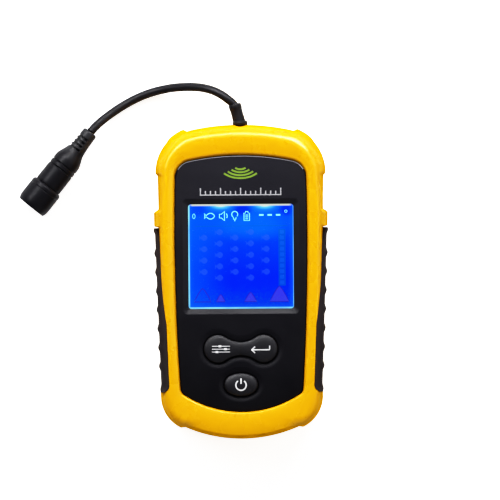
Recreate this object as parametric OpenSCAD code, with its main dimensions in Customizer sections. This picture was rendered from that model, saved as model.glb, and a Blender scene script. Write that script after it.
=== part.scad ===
// Handheld fish finder with a sunken front panel, a square display, three rubber keys,
// ribbed side grips, a four-cell battery bay and a short lead that ends in a socket.
// It lies on its back: +X is the display's right, +Y points to the lead, +Z out of the display.

/* [Case] */
// Length of the case, end to end
case_l = 126; // [124:1:152]
// Height of the rim's crest above the back
case_t = 30; // [29.5:0.5:36]
// Width across the upper corners, without their pads
shoulder_w = 66.2; // [65:0.2:80]
// Width across the lower corners, without their pads
hip_w = 63; // [62.4:0.2:76]
// Radius of the upper end's curve in plan
top_r = 94; // [80:1:120]
// Radius of the lower end's curve in plan
bottom_r = 56.4; // [50:0.2:70]
// Radius of the upper corners
top_corner_r = 17.5; // [15:0.5:19]
// Radius of the lower corners
bottom_corner_r = 13; // [11.5:0.5:14]
// Height of the joint between the two shells
split_z = 17; // [16.5:0.1:18]
// How far the front edge rounds inwards
front_roll_w = 4.6; // [3.6:0.2:5]
// How far down the front edge's rounding starts
front_roll_h = 18; // [14:0.5:20]
// How far the back edge rounds inwards
back_roll_w = 4.5; // [3:0.25:5]
// Height of the back edge's rounding
back_roll_h = 6; // [4:0.5:7]
// Wall at the two ends of the case
end_wall = 3.4; // [3.2:0.1:3.8]
// Wall behind the grips
side_wall = 3; // [2.8:0.1:3.4]
// Thickness of the back
back_wall = 2.4; // [2:0.1:3]
// How far the corner pads stand proud
corner_pad = 0.9; // [0.4:0.1:1.4]
// How far the side pads stand proud
side_pad = 1.9; // [1:0.1:2.6]
// Length of the side pads above the grips
side_pad_l = 7; // [5:0.5:9]

/* [Front panel] */
// Width of the panel at its widest
panel_w = 53.2; // [50:0.2:55]
// Width of the panel at its lower corners
panel_foot_w = 49.4; // [47:0.2:51]
// Rim of the case above the panel
rim_top = 12.4; // [11:0.2:14]
// Rim of the case below the panel
rim_bottom = 10.6; // [10:0.2:12]
// Thickness of the panel
panel_t = 2; // [1.6:0.1:2.4]
// Depth of the panel's face below the rim's crest
panel_sink = 2; // [1.6:0.1:2.4]
// Width of the ledge under the panel's edge
ledge_w = 1.6; // [1.2:0.1:2]

/* [Display] */
// Width of the window
window_w = 42; // [36:0.5:43]
// Height of the window
window_h = 42.4; // [36:0.2:43]
// Distance from the panel's upper end to the window
window_drop = 19.6; // [18:0.2:22]
// Width of the window's bevel
bevel = 2; // [1:0.1:2.4]
// Thickness of the clear lens
lens_t = 1.2; // [0.8:0.1:1.4]
// Thickness of the display glass
lcd_t = 1.7; // [1.2:0.1:1.8]
// Thickness of the light guide
guide_t = 1.2; // [0.8:0.1:1.4]

/* [Keys] */
// Distance between the two lobes of the paired key
lobe_pitch = 17.8; // [16.5:0.2:20]
// Diameter of a lobe
lobe_d = 11.2; // [10:0.2:12]
// Height of the paired key's neck
neck_h = 5.4; // [4:0.2:7]
// Slit between the two halves of the paired key
key_slit = 0.4; // [0.3:0.1:0.6]
// Width of the power key
power_w = 13.4; // [11:0.2:15]
// Height of the power key
power_h = 9.2; // [8:0.2:10]
// Distance from the panel's lower end to the power key
power_rise = 11.2; // [10:0.2:13]
// Distance from the power key to the paired key
key_pitch = 14; // [13.4:0.2:16]
// How far the keys stand above the panel
key_proud = 1.3; // [0.8:0.1:1.6]
// How far a key travels
key_travel = 1; // [0.6:0.1:1.1]
// Gap round a key
key_gap = 0.35; // [0.25:0.05:0.5]

/* [Grips] */
// Distance from the case's upper end to the grips
grip_drop = 41.6; // [38:0.2:48]
// Distance from the case's lower end to the grips
grip_rise = 19; // [17:0.2:22]
// Depth of the grips in the shells at their upper end
grip_in_top = 1.3; // [1:0.1:1.8]
// Depth of the grips in the shells at their lower end
grip_in_bottom = 3.4; // [2.6:0.1:3.6]
// How far the grips stand out at their upper end
grip_out_top = 1.7; // [1:0.1:2.4]
// How far the grips stand out at their lower end
grip_out_bottom = 0.5; // [0.3:0.1:1.6]
// Lower edge of the grips
grip_z0 = 7; // [6:0.5:9]
// Upper edge of the grips at their upper end
grip_top_z = 18; // [17:0.5:24]
// Upper edge of the grips at their lower end
grip_foot_z = 28.5; // [24:0.5:28.5]
// Spacing of the grip ribs
rib_pitch = 7.5; // [6:0.5:10]
// Diameter of a grip rib
rib_d = 2.4; // [1.6:0.2:3]

/* [Battery bay] */
// Diameter of a cell
cell_d = 10.5; // [10:0.1:10.8]
// Length of a cell with its nub
cell_l = 44.5; // [42:0.5:45]
// Spacing of the cells
cell_pitch = 10.7; // [10.6:0.1:11]
// Room for a spring between a cell and its contact
spring_l = 4.3; // [3:0.1:5]
// Wall of the tray
tray_wall = 1.2; // [1:0.1:1.4]
// Distance from the case's lower end to the tray's inside
tray_rise = 12.4; // [12:0.2:14]
// Width of the door's face
door_w = 46; // [45.6:0.2:46.4]
// Thickness of the door
door_t = 2; // [1.8:0.1:2.2]
// Thickness of the lips that hold the door
lip_t = 1; // [0.8:0.1:1.1]
// Width of the door's tongues
tongue_w = 1.2; // [0.8:0.1:1.4]

/* [Lead and socket] */
// Diameter of the lead
cord_d = 3.4; // [2.8:0.1:4]
// Diameter of the gland's outer flange
gland_d = 6.2; // [5.8:0.1:7]
// Diameter of the gland's neck in the wall
neck_d = 4.8; // [4:0.1:5.2]
// Diameter of the gland's sleeve
sleeve_d = 4.9; // [4.4:0.1:5.6]
// Diameter of the socket's barrel
barrel_d = 11.3; // [10.8:0.1:12]
// Diameter of the coupling nut
nut_d = 13.2; // [12.8:0.1:14]
// Length of the coupling nut
nut_l = 10.8; // [8.5:0.1:12]
// Diameter of the socket's bore
socket_d = 7.8; // [7:0.1:8.2]
// Depth of the socket's bore
socket_depth = 8; // [6:0.2:8.4]

/* [Hidden] */
$fn = 48;
eps = 0.01;
fit = 0.15;         // clearance between pieces that are assembled and stay put
slide_gap = 0.2;    // clearance of the sliding door
turn_gap = 0.05;    // radial clearance of the coupling nut
seat_gap = 0.05;    // clearance of small round pieces in their seats
screw_gap = 0.05;   // radial clearance of a screw in its hole

n_corner = 14;      // steps round a corner of an outline
n_end = 6;          // steps along half an end of an outline
n_side = 36;        // steps along a side of an outline
end_tilt = 6;       // lean of the gland's sleeve where it starts
sleeve_bend_r = 12; // radius of the sleeve's bend
sleeve_turn = 35;   // angle of the sleeve's bend

// Heights, from the front down
panel_top_z = case_t - panel_sink;
roof_z = panel_top_z - panel_t;
ledge_t = 1.6;
lens_z = roof_z - lens_t;
lcd_z = lens_z - 0.2 - lcd_t;
guide_z = lcd_z - 0.1 - guide_t;
board_t = 1.6;
board_top_z = guide_z;
board_z = board_top_z - board_t;

// Outlines: upper end, lower end, half width at the upper and lower corners, radius of each
// end, radius of the corners, and how far the sides bulge
case_top = case_l / 2;
case_plan = [case_top, -case_top, shoulder_w / 2, hip_w / 2, top_r, bottom_r,
             top_corner_r, bottom_corner_r, 0];
panel_top = case_top - rim_top;
panel_bottom = -case_top + rim_bottom;
panel_r_top = 100;
panel_r_bottom = 36;
panel_corner_top = 6;
panel_corner_bottom = 3.4;
panel_belly = 0.9;
panel_plan = [panel_top, panel_bottom, panel_w / 2 - 0.2, panel_foot_w / 2, panel_r_top,
              panel_r_bottom, panel_corner_top, panel_corner_bottom, panel_belly];

// Places on the front
window_y = panel_top - window_drop - window_h / 2;
power_y = panel_bottom + power_rise;
pair_y = power_y + key_pitch;
lobe_x = lobe_pitch / 2;
lobe_r = lobe_d / 2;
key_top_z = panel_top_z + key_proud;
key_moat = 1.3;        // width of the sunken ring round a key
key_moat_t = 0.5;      // depth of that ring
flange_out = 1.2;      // how far a key's flange reaches under the panel
flange_t = 0.9;
flange_z = roof_z - 0.3 - flange_t;
pill_d = 4.4;
stem_d = 6;
key_round = 0.6;       // how far a key's crown is set in
key_crown_t = 0.5;
pill_t = 0.35;
pad_t = 0.05;          // thickness of a contact pad on the board
pill_z = board_top_z + pad_t + 0.05 + key_travel;
mat_t = 0.8;
post_d = 4.4;          // posts under the panel that carry the board
post_inset_top = 9;
post_inset_bottom = 11;
post_x_top = 19.5;
post_x_bottom = 17.5;
post_points = [for (s = [-1, 1], e = [0, 1])
    e == 0 ? [s * post_x_top, panel_top - post_inset_top]
           : [s * post_x_bottom, panel_bottom + post_inset_bottom]];
board_inset = 3;
board_screw_d = 1.8;
board_head_d = 3.6;
board_head_t = 1.2;
board_screw_l = 3.4;

// Grips
rib_proud = 0.6;       // how far a rib stands out of its grip
rib_start = 2.6;
rib_margin = 12;       // length of a grip that carries no ribs
grip_lip_d = rib_d + 0.7;
grip_chamfer = 4;
grip_shares = [0, 0.2, 0.35, 0.5, 0.62, 0.74, 0.86, 1];

// Display stack
lens_lap = 1.5;
lcd_w = window_w + 3;
lcd_h = window_h + 5;
frame_wall = 1.1;
strip_w = 2.4;
led_size = [3.2, 1.6];
led_x = 8.4;

// Pieces under the board: places, sizes and, for the chips, legs along a side
processor = [12, 14, 1.8, 12];
processor_at = [-10, window_y + 8];
receiver = [6, 10, 1.6, 8];
receiver_at = [-10, window_y - 12];
leg_t = 0.4;
leg_l = 1.2;
core = [13, 11, 8];
core_yoke = 1.8;
core_slot = 6.8;
wound_d = 9.6;
transformer_at = [11, window_y + 4];
can_d = 6.3;
can_h = 8;
cans_at = [[-17, window_y + 26], [-9, window_y + 26]];
buzzer_d = 12.6;
buzzer_h = 4.5;
buzzer_hole_d = 2;
buzzer_at = [13, window_y + 24];
header_w = 6.4;
header_h = 4.4;
header_y = [panel_top - 9.5, panel_top - 4.5];
wire_d = 1.2;
wire_hole_d = 2;
wire_bend_r = 3.6;
lead_sag = 1.2;

// Seal between the shells
seal_in = 1.2;         // distance from the cavity to the seal's groove
seal_w = 1;
seal_h = 1.2;

// Corner screws
upper_screw_in = 6.4;  // distance from the outer wall to a screw
lower_screw_in = 4;
upper_screw_angle = 27;
lower_screw_angle = -14;
boss_r = 3;
lower_boss_r = seal_in + seal_w + 2;  // keeps the seal inside the lower screws
screw_d = 2.5;
screw_head_d = 4;
screw_head_t = 2;
screw_seat_z = 5;
screw_l = 18;
counterbore_d = 4.4;

// Battery bay
cells = 4;
cell_nub_d = 3.8;
cell_nub_l = 0.9;
plate_t = 0.4;
tray_x = cells * cell_pitch / 2 + 0.1;
tray_y0 = -case_top + tray_rise;
tray_y1 = tray_y0 + cell_l + spring_l + 2 * plate_t;
cell_z = door_t + 0.3 + cell_d / 2;
tray_roof_z = cell_z + cell_d / 2 + 0.3;
tray_z = door_t + slide_gap;
frame_t = 3.6;         // thickness of the back round the door
frame_rim = 1.6;
tray_flange = 1.5;
tray_flange_t = 1;
door_top_y = tray_y1 + tray_wall + 1.4;
thumb_grooves = 4;
thumb_pitch = 2.2;
thumb_w = 18;
thumb_depth = 0.4;
spring_turns = 3.5;
spring_wire_d = 0.6;
spring_r0 = 3.2;
spring_r1 = 2;
spring_sides = 6;
spring_foot = spring_wire_d / 2 + seat_gap;
spring_run = spring_l - 2 * spring_foot;

// Gland, lead and socket
gland_y = case_top - 0.6;
gland_t = 2;
gland_inner_d = 7.2;
gland_inner_t = 1.4;
gland_foot_y = case_top - end_wall - gland_inner_t - fit;
sleeve_start = [0, gland_y + gland_t];
sleeve_end = sleeve_start + sleeve_bend_r
    * [cos(end_tilt + sleeve_turn) - cos(end_tilt), sin(end_tilt + sleeve_turn) - sin(end_tilt)];
sleeve_dir = [-sin(end_tilt + sleeve_turn), cos(end_tilt + sleeve_turn), 0];
nut_r = nut_d / 2;
socket_angle = 231.1;  // heading of the socket in plan
socket_dir = [cos(socket_angle), sin(socket_angle), 0];
// Route of the lead from the gland's sleeve to the socket, measured from the sleeve's end in
// plan and from the floor in height
cord_route = [[0, 0, split_z], [-2.1, 1.8, split_z - 0.1], [-4.6, 3.6, 16.3], [-8, 5.3, 15],
    [-12, 6.4, 13], [-16, 6.85, 10.6], [-20, 6.9, 8.1], [-24, 6.65, 5.8], [-28, 6.05, 3.9],
    [-32, 5.1, 2.6], [-36, 3.75, 1.9], [-40, 1.95, 1.8], [-44, -0.25, 2.1], [-48, -2.85, 3],
    [-52, -5.85, 4.6], [-55, -8.5, 5.9], [-57.1, -10.8, nut_r]];
cord_points = [for (p = cord_route) [p.x + sleeve_end.x, p.y + sleeve_end.y, p.z]];
cord_sides = 8;
socket_origin = cord_points[len(cord_points) - 1];
tail_l = 10;
tail_d0 = 5.6;
tail_d1 = 8.4;
cone_l = 4.2;
barrel_l = 13.5;
barrel_grooves = [tail_l + cone_l + 2, tail_l + cone_l + 3.6];
groove_d = 0.7;
tail_slots = 4;        // pairs of slots that let the tail bend
slot_pitch = 1.85;
slot_start = 2.4;
slot_w = 0.8;
slot_depth = 0.8;
nut_z = tail_l + cone_l + barrel_l;  // start of the coupling nut along the socket
nut_lip = 1.2;
nut_edge = 0.8;
neck_r = 4.95;
collar_z = nut_z + nut_lip + 0.1;    // collar that keeps the nut on
collar_r = 5.5;
collar_t = 1;
seal_z = collar_z + collar_t;
socket_seal_t = 1;
thread_r = 5.7;
socket_end = nut_z + nut_l - 0.9;    // front of the socket's neck
insert_d = socket_d - 0.8;
insert_t = 2;
insert_z = socket_end - socket_depth - insert_t;
socket_ways = 3;
contact_d = 1.6;
contact_wall = 0.3;
contact_ring_r = 1.9;

YELLOW = "gold";
BLACK = [0.12, 0.12, 0.13];
STEEL = [0.72, 0.73, 0.75];
GREEN = [0.05, 0.35, 0.18];

// Plane geometry

function arc(c, r, a0, a1, n) =
    [for (i = [1:n]) c + r * [cos(a0 + (a1 - a0) * i / n), sin(a0 + (a1 - a0) * i / n)]];

// Centre of the corner arc that touches both the end arc and the line x
function corner_at(x, r, end_y, end_r, up) =
    [x - r, end_y - up * end_r + up * sqrt(pow(end_r - r, 2) - pow(x - r, 2))];

function upper_corner(plan) = corner_at(plan[2], plan[6], plan[0], plan[4], 1);
function lower_corner(plan) = corner_at(plan[3], plan[7], plan[1], plan[5], -1);

// Angle of the right side's outward normal
function side_normal(plan) = let (d = upper_corner(plan) - lower_corner(plan))
    atan2(d.y, d.x) - acos((plan[7] - plan[6]) / norm(d));

// Right half of an outline, from the middle of its lower end to the middle of its upper end
function right_half(plan, inset) = let (
        upper = upper_corner(plan),
        lower = lower_corner(plan),
        upper_mid = [0, plan[0] - plan[4]],
        lower_mid = [0, plan[1] + plan[5]],
        upper_angle = atan2(upper.y - upper_mid.y, upper.x),
        lower_angle = atan2(lower.y - lower_mid.y, lower.x),
        out = side_normal(plan),
        n = [cos(out), sin(out)],
        foot = lower + (plan[7] - inset) * n,
        head = upper + (plan[6] - inset) * n)
    concat([[0, plan[1] + inset]],
        arc(lower_mid, plan[5] - inset, -90, lower_angle, n_end),
        arc(lower, plan[7] - inset, lower_angle, out, n_corner),
        [for (i = [1:n_side]) let (t = i / n_side) foot + (head - foot) * t + 4 * t * (1 - t) * plan[8] * n],
        arc(upper, plan[6] - inset, out, upper_angle, n_corner),
        arc(upper_mid, plan[4] - inset, upper_angle, 90, n_end));

// Closed outline, counter-clockwise, moved inwards by inset
function outline(plan, inset = 0) = let (right = right_half(plan, inset), last = len(right) - 1)
    concat(right, [for (i = [last - 1:-1:1]) [-right[i].x, right[i].y]]);

// Plain side of the case at height y of the plan
function side_x(y) = let (out = side_normal(case_plan), n = [cos(out), sin(out)],
        foot = lower_corner(case_plan) + bottom_corner_r * n,
        head = upper_corner(case_plan) + top_corner_r * n)
    foot.x + (head.x - foot.x) * (y - foot.y) / (head.y - foot.y);

function ease(v, a, b) = let (t = max(0, min(1, (v - a) / (b - a)))) t * t * (3 - 2 * t);

// Rise of the corner and side pads above the plain wall, at a point of the case's outline
function pad_rise(p) = let (
        upper = upper_corner(case_plan),
        lower = lower_corner(case_plan),
        x = abs(p.x),
        pad_top = case_top - grip_drop + side_pad_l,
        at_top = ease(x, upper.x + 6.6, upper.x + 8.6) * ease(p.y, upper.y - 2.6, upper.y - 0.4),
        at_bottom = ease(x, lower.x + 4.2, lower.x + 6.2) * ease(-p.y, -lower.y - 4, -lower.y - 2.5),
        at_side = ease(x, lower.x + 8, lower.x + 10) * ease(-p.y, -pad_top, -pad_top + 2.4)
            * ease(p.y, pad_top - side_pad_l, pad_top - side_pad_l + 1.2))
    corner_pad * max(at_top, at_bottom) + side_pad * at_side;

// Height and inset of each ring of the case's skin, and how much of the pads it carries
back_steps = [0, 30, 60, 90];
front_steps = [0, 20, 40, 56, 72, 90];
skin_rings = concat(
    [for (a = back_steps) [back_roll_h * (1 - cos(a)), back_roll_w * (1 - sin(a))]],
    [for (a = front_steps)
        [case_t - front_roll_h * (1 - sin(a)), front_roll_w * (1 - cos(a))]]);
function pad_share(z) = ease(z, 2, back_roll_h) * (1 - ease(z, split_z + 2, case_t - 1));

function stack(rings) = [for (r = rings) each r];
function tube_faces(n, count) = concat(
    [[for (i = [0:n - 1]) i]],
    [for (k = [0:count - 2], i = [0:n - 1]) [k * n + i, (k + 1) * n + i, (k + 1) * n + (i + 1) % n]],
    [for (k = [0:count - 2], i = [0:n - 1]) [k * n + i, (k + 1) * n + (i + 1) % n, k * n + (i + 1) % n]],
    [[for (i = [n - 1:-1:0]) (count - 1) * n + i]]);

module skin(rings) {
    polyhedron(stack(rings), tube_faces(len(rings[0]), len(rings)), convexity = 6);
}

function lift(points, z) = [for (p = points) [p.x, p.y, z]];

// Solid of the whole case, with its pads, rounded at the back and the front
module case_skin() {
    plain = outline(case_plan);
    inner = outline(case_plan, 1);
    skin([for (ring = skin_rings)
        [for (i = [0:len(plain) - 1]) let (
                n = plain[i] - inner[i],
                q = plain[i] + n * (pad_rise(plain[i]) * pad_share(ring[0]) - ring[1]))
            [q.x, q.y, ring[0]]]]);
}

module slab(z0, z1) {
    translate([-case_l, -case_l, z0]) cube([2 * case_l, 2 * case_l, z1 - z0]);
}

module plate(z, t) {
    translate([0, 0, z]) linear_extrude(t) children();
}

module box(x, y, z) {
    translate([x[0], y[0], z[0]]) cube([x[1] - x[0], y[1] - y[0], z[1] - z[0]]);
}

module rounded_rect(w, h, r) {
    square([w - 2 * r, h], center = true);
    square([w, h - 2 * r], center = true);
    for (x = [-1, 1], y = [-1, 1]) translate([x * (w / 2 - r), y * (h / 2 - r)]) circle(r);
}

// A round wire or cord swept along points, with the given end directions;
// across is a direction that the route never takes, which keeps the rings from twisting
function unit(v) = v / norm(v);
function heading(points, i, first, last) =
    i == 0 ? unit(first) : i == len(points) - 1 ? unit(last) : unit(points[i + 1] - points[i - 1]);
function ring_at(p, d, r, sides, across) = let (
        side = unit(cross(d, across)),
        up = cross(side, d))
    [for (k = [0:sides - 1]) p + r * (cos(360 * k / sides) * side - sin(360 * k / sides) * up)];

module swept(points, d, sides, first, last, across = [0, 0, 1]) {
    skin([for (i = [0:len(points) - 1])
        ring_at(points[i], heading(points, i, first, last), d / 2, sides, across)]);
}

// Shells

function screw_points() = let (
        upper = upper_corner(case_plan) + (top_corner_r - upper_screw_in)
            * [cos(upper_screw_angle), sin(upper_screw_angle)],
        lower = lower_corner(case_plan) + (bottom_corner_r - lower_screw_in)
            * [cos(lower_screw_angle), sin(lower_screw_angle)])
    [for (s = [-1, 1], p = [upper, lower]) [s * p.x, p.y]];

// Inside of the case in plan, grown by the given amount
module cavity_plan(grow = 0) {
    top_y = case_top - grip_drop;
    foot_y = -case_top + grip_rise;
    x1 = side_x(top_y) - grip_in_top - side_wall + grow;
    x0 = side_x(foot_y) - grip_in_bottom - side_wall + grow;
    lean = (x1 - x0) / (top_y - foot_y);
    high = x1 + lean * (case_l - top_y);
    low = x0 - lean * (foot_y + case_l);
    difference() {
        intersection() {
            polygon(outline(case_plan, end_wall - grow));
            polygon([[-high, case_l], [-low, -case_l], [low, -case_l], [high, case_l]]);
        }
        for (p = screw_points()) if (p.y < 0) translate(p) circle(lower_boss_r - grow);
    }
}

module at_points(points, z = 0) {
    for (p = points) translate([p.x, p.y, z]) children();
}

// Share of a grip's length at height y of the plan, from its lower end
function grip_share(y) = let (foot_y = -case_top + grip_rise, top_y = case_top - grip_drop)
    (y - foot_y) / (top_y - foot_y);

// Upper edge of a grip, which falls away towards its upper end
function grip_z1(y) = grip_foot_z - (grip_foot_z - grip_top_z) * pow(max(0, grip_share(y)), 2.1);

module grip_pocket(side) {
    top_y = case_top - grip_drop + fit;
    foot_y = -case_top + grip_rise - fit;
    mirror([side < 0 ? 1 : 0, 0, 0]) skin([for (t = grip_shares) let (
            y = foot_y + (top_y - foot_y) * t,
            x = side_x(y) - grip_in_bottom - (grip_in_top - grip_in_bottom) * t - fit,
            z = grip_z1(y) + fit)
        [[x, y, grip_z0 - fit], [x, y, z], [shoulder_w, y, z], [shoulder_w, y, grip_z0 - fit]]]);
}

// Hole for the gland's neck, with a seat for its outer flange
module gland_hole() {
    translate([0, 0, split_z]) rotate([-90, 0, 0]) {
        cylinder(d = neck_d + 2 * fit, h = case_l);
        translate([0, 0, gland_y - fit]) cylinder(d = gland_d + 2 * fit, h = case_l);
    }
}

// Sloping inner side of the rim, from the panel's edge to the crest
module rim_slope() {
    crest = outline(case_plan, front_roll_w);
    skin([lift(outline(panel_plan, -fit), panel_top_z + 0.2), lift(crest, case_t + eps)]);
}

module front_shell() color(YELLOW) difference() {
    union() {
        difference() {
            intersection() {
                case_skin();
                slab(split_z, case_t + 1);
            }
            plate(split_z - 1, roof_z - split_z + 1) cavity_plan();
        }
        plate(roof_z - ledge_t, ledge_t) difference() {
            polygon(outline(panel_plan, -ledge_w));
            polygon(outline(panel_plan, ledge_w));
        }
        at_points(screw_points(), split_z) cylinder(r = boss_r, h = roof_z - split_z);
    }
    plate(roof_z, case_t) polygon(outline(panel_plan, -fit));
    plate(roof_z - ledge_t - 1, case_t) polygon(outline(panel_plan, ledge_w));
    rim_slope();
    at_points(screw_points(), split_z - 1)
        cylinder(d = screw_d + 2 * screw_gap, h = screw_seat_z + screw_l - split_z + 2);
    for (s = [-1, 1]) grip_pocket(s);
    gland_hole();
}

// Cross-section of the door, as a face between lips and a wider tongue above them
module door_section(gap) {
    half = door_w / 2;
    translate([-half - gap, -1]) square([2 * (half + gap), door_t + 1 + gap]);
    translate([-half - tongue_w - gap, lip_t + slide_gap - gap])
        square([2 * (half + tongue_w + gap), door_t - lip_t - slide_gap + 2 * gap]);
}

module door_prism(gap) {
    translate([0, door_top_y + gap, 0]) rotate([90, 0, 0])
        linear_extrude(case_l + door_top_y) door_section(gap);
}

module rear_shell() color(YELLOW) difference() {
    frame_x = door_w / 2 + tongue_w + slide_gap + frame_rim;
    union() {
        difference() {
            intersection() {
                case_skin();
                slab(-1, split_z);
            }
            difference() {
                plate(back_wall, split_z) cavity_plan();
                box([-frame_x, frame_x], [-case_l, door_top_y + slide_gap + frame_rim], [0, frame_t]);
            }
        }
        at_points(screw_points(), back_wall - 1) cylinder(r = boss_r, h = split_z - back_wall + 1);
    }
    door_prism(slide_gap);
    box([-tray_x - tray_wall - fit, tray_x + tray_wall + fit],
        [tray_y0 - tray_wall - fit, tray_y1 + tray_wall + fit], [door_t, frame_t + 1]);
    plate(split_z - seal_h, seal_h + 1) difference() {
        cavity_plan(seal_in + seal_w);
        cavity_plan(seal_in);
    }
    at_points(screw_points(), -1) {
        cylinder(d = counterbore_d, h = screw_seat_z + 1);
        cylinder(d = screw_d + 4 * screw_gap, h = case_t);
    }
    for (s = [-1, 1]) grip_pocket(s);
    gland_hole();
}

module case_seal() color(BLACK) difference() {
    plate(split_z - seal_h, seal_h) difference() {
        cavity_plan(seal_in + seal_w - 0.05);
        cavity_plan(seal_in + 0.05);
    }
    translate([0, 0, split_z]) rotate([-90, 0, 0]) cylinder(d = neck_d + 2 * fit, h = case_l);
}

module case_screws() color(STEEL) at_points(screw_points(), screw_seat_z) difference() {
    union() {
        translate([0, 0, -screw_head_t]) cylinder(d = screw_head_d, h = screw_head_t);
        cylinder(d = screw_d, h = screw_l);
    }
    for (a = [0, 90]) rotate(a) translate([0, 0, -screw_head_t])
        cube([0.7, screw_head_d * 0.7, screw_head_t], center = true);
}

// Grips

module grip(side) {
    top_y = case_top - grip_drop;
    foot_y = -case_top + grip_rise;
    inner = [[side_x(foot_y) - grip_in_bottom, foot_y], [side_x(top_y) - grip_in_top, top_y]];
    outer = [[side_x(foot_y) + grip_out_bottom, foot_y], [side_x(top_y) + grip_out_top, top_y]];
    run = outer[1] - outer[0];
    ribs = floor((norm(run) - rib_margin) / rib_pitch);
    bulge = rib_proud;
    sunk = [rib_d / 2 - rib_proud, 0];
    soft = grip_chamfer;
    mirror([side < 0 ? 1 : 0, 0, 0]) color(BLACK) intersection() {
        plate(grip_z0, case_t - grip_z0) intersection() {
            union() {
                polygon([inner[0], outer[0], outer[1], inner[1]]);
                for (p = outer) translate(p - sunk) circle(d = grip_lip_d);
                for (i = [1:ribs]) translate(outer[1] - unit(run) * (rib_start + i * rib_pitch) - sunk)
                    circle(d = rib_d);
            }
            translate([0, foot_y]) square([shoulder_w, top_y - foot_y]);
        }
        skin([for (t = concat([-0.02], grip_shares, [1.02])) let (
                y = foot_y + (top_y - foot_y) * t,
                x = outer[0].x + run.x * t + bulge,
                z1 = grip_z1(y))
            [for (p = [[x - 9, grip_z0], [x - 9, z1], [x - soft, z1], [x, z1 - soft],
                    [x, grip_z0 + soft], [x - soft, grip_z0]])
                [p.x, y, p.y]]]);
    }
}

module left_grip() grip(-1);
module right_grip() grip(1);

// Front panel and keys

// Paired key in plan: two lobes with a waist between them, grown by the given amount
module pair_plan(grow) {
    half_neck = neck_h / 2;
    waist_r = (lobe_x * lobe_x + half_neck * half_neck - lobe_r * lobe_r) / (2 * (lobe_r - half_neck));
    to_waist = unit([-lobe_x, half_neck + waist_r]);
    touch = [lobe_x, 0] + (lobe_r + grow) * to_waist;
    translate([0, pair_y]) difference() {
        union() {
            for (s = [-1, 1]) translate([s * lobe_x, 0]) circle(lobe_r + grow);
            square(2 * touch, center = true);
        }
        for (s = [-1, 1]) translate([0, s * (half_neck + waist_r)]) circle(waist_r - grow);
    }
}

// Power key in plan: an oval of four arcs, grown by the given amount
module power_plan(grow) {
    end_r = power_h * 0.42;
    end_x = power_w / 2 - end_r;
    rise = power_h / 2 - end_r;
    drop = (end_x * end_x - rise * rise) / (2 * rise);
    long_r = power_h / 2 + drop + grow;
    touch_x = long_r * end_x / norm([end_x, drop]);
    translate([0, power_y]) {
        for (s = [-1, 1]) translate([s * end_x, 0]) circle(end_r + grow);
        intersection() {
            translate([0, -drop]) circle(long_r);
            translate([0, drop]) circle(long_r);
            square([2 * touch_x, power_h + 2 * abs(grow)], center = true);
        }
    }
}

module front_panel() color(BLACK) difference() {
    union() {
        plate(roof_z, panel_t) polygon(outline(panel_plan));
        at_points(post_points, board_top_z) cylinder(d = post_d, h = roof_z - board_top_z + eps);
    }
    hull() {
        plate(roof_z + 0.2, eps) translate([0, window_y]) rounded_rect(window_w, window_h, 1.2);
        plate(panel_top_z, eps) translate([0, window_y])
            rounded_rect(window_w + 2 * bevel, window_h + 2 * bevel, 1.2 + bevel);
    }
    plate(roof_z - 1, panel_t) translate([0, window_y]) rounded_rect(window_w, window_h, 1.2);
    plate(roof_z - 1, panel_t + 2) {
        pair_plan(key_gap);
        power_plan(key_gap);
    }
    plate(panel_top_z - key_moat_t, 1) {
        pair_plan(key_gap + key_moat);
        power_plan(key_gap + key_moat);
    }
    at_points(post_points, board_top_z - 1)
        cylinder(d = board_screw_d + 2 * screw_gap, h = board_screw_l + 1.2 - board_t);
}

// A key's cap, shoulder and retaining flange, from the plan given as children of 3 sizes
module key_body(foot) {
    plate(flange_z, flange_t) children(0);
    plate(flange_z, key_top_z - key_crown_t - flange_z) children(1);
    plate(key_top_z - key_crown_t - eps, key_crown_t + eps) children(2);
    at_points([foot], pill_z + pill_t) cylinder(d = stem_d, h = flange_z - pill_z - pill_t + eps);
}

module half_key(side) color(BLACK) intersection() {
    key_body([side * lobe_x, pair_y]) {
        pair_plan(flange_out);
        pair_plan(0);
        pair_plan(-key_round);
    }
    box(side > 0 ? [key_slit / 2, case_l] : [-case_l, -key_slit / 2], [-case_l, case_l], [0, 2 * case_t]);
}

module setup_key() half_key(-1);
module enter_key() half_key(1);

module power_key() color(BLACK) key_body([0, power_y]) {
    power_plan(flange_out);
    power_plan(0);
    power_plan(-key_round);
}

key_places = [[-lobe_x, pair_y], [lobe_x, pair_y], [0, power_y]];

module pill(i) color([0.2, 0.2, 0.2]) at_points([key_places[i]], pill_z) cylinder(d = pill_d, h = pill_t);
module setup_pill() pill(0);
module enter_pill() pill(1);
module power_pill() pill(2);

module keypad_mat() color([0.25, 0.25, 0.27]) difference() {
    plate(board_top_z, mat_t) translate([0, (pair_y + power_y) / 2])
        rounded_rect(lobe_pitch + lobe_d + 6, key_pitch + lobe_d + 4, 3);
    at_points(key_places, board_top_z - 1) cylinder(d = pill_d + 2.4, h = mat_t + 2);
    at_points(post_points, board_top_z - 1) cylinder(d = post_d + 1, h = mat_t + 2);
}

module contact_pads() color("goldenrod") at_points(key_places, board_top_z) cylinder(d = pill_d, h = pad_t);

// Display

module centred(y, w, h) {
    translate([-w / 2, y - h / 2]) square([w, h]);
}

module display_lens() color([0.8, 0.9, 1, 0.3]) plate(lens_z, lens_t)
    translate([0, window_y]) rounded_rect(window_w + 2 * lens_lap, window_h + 2 * lens_lap, 1.5);

module lcd_glass() color([0.1, 0.3, 0.95]) plate(lcd_z, lcd_t) centred(window_y, lcd_w, lcd_h);

guide_y0 = window_y - lcd_h / 2 + strip_w + 0.2;
guide_y1 = window_y + lcd_h / 2 - led_size.y - 0.2;

module light_guide() color([0.9, 0.95, 1]) plate(guide_z, guide_t)
    centred((guide_y0 + guide_y1) / 2, lcd_w, guide_y1 - guide_y0);

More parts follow.
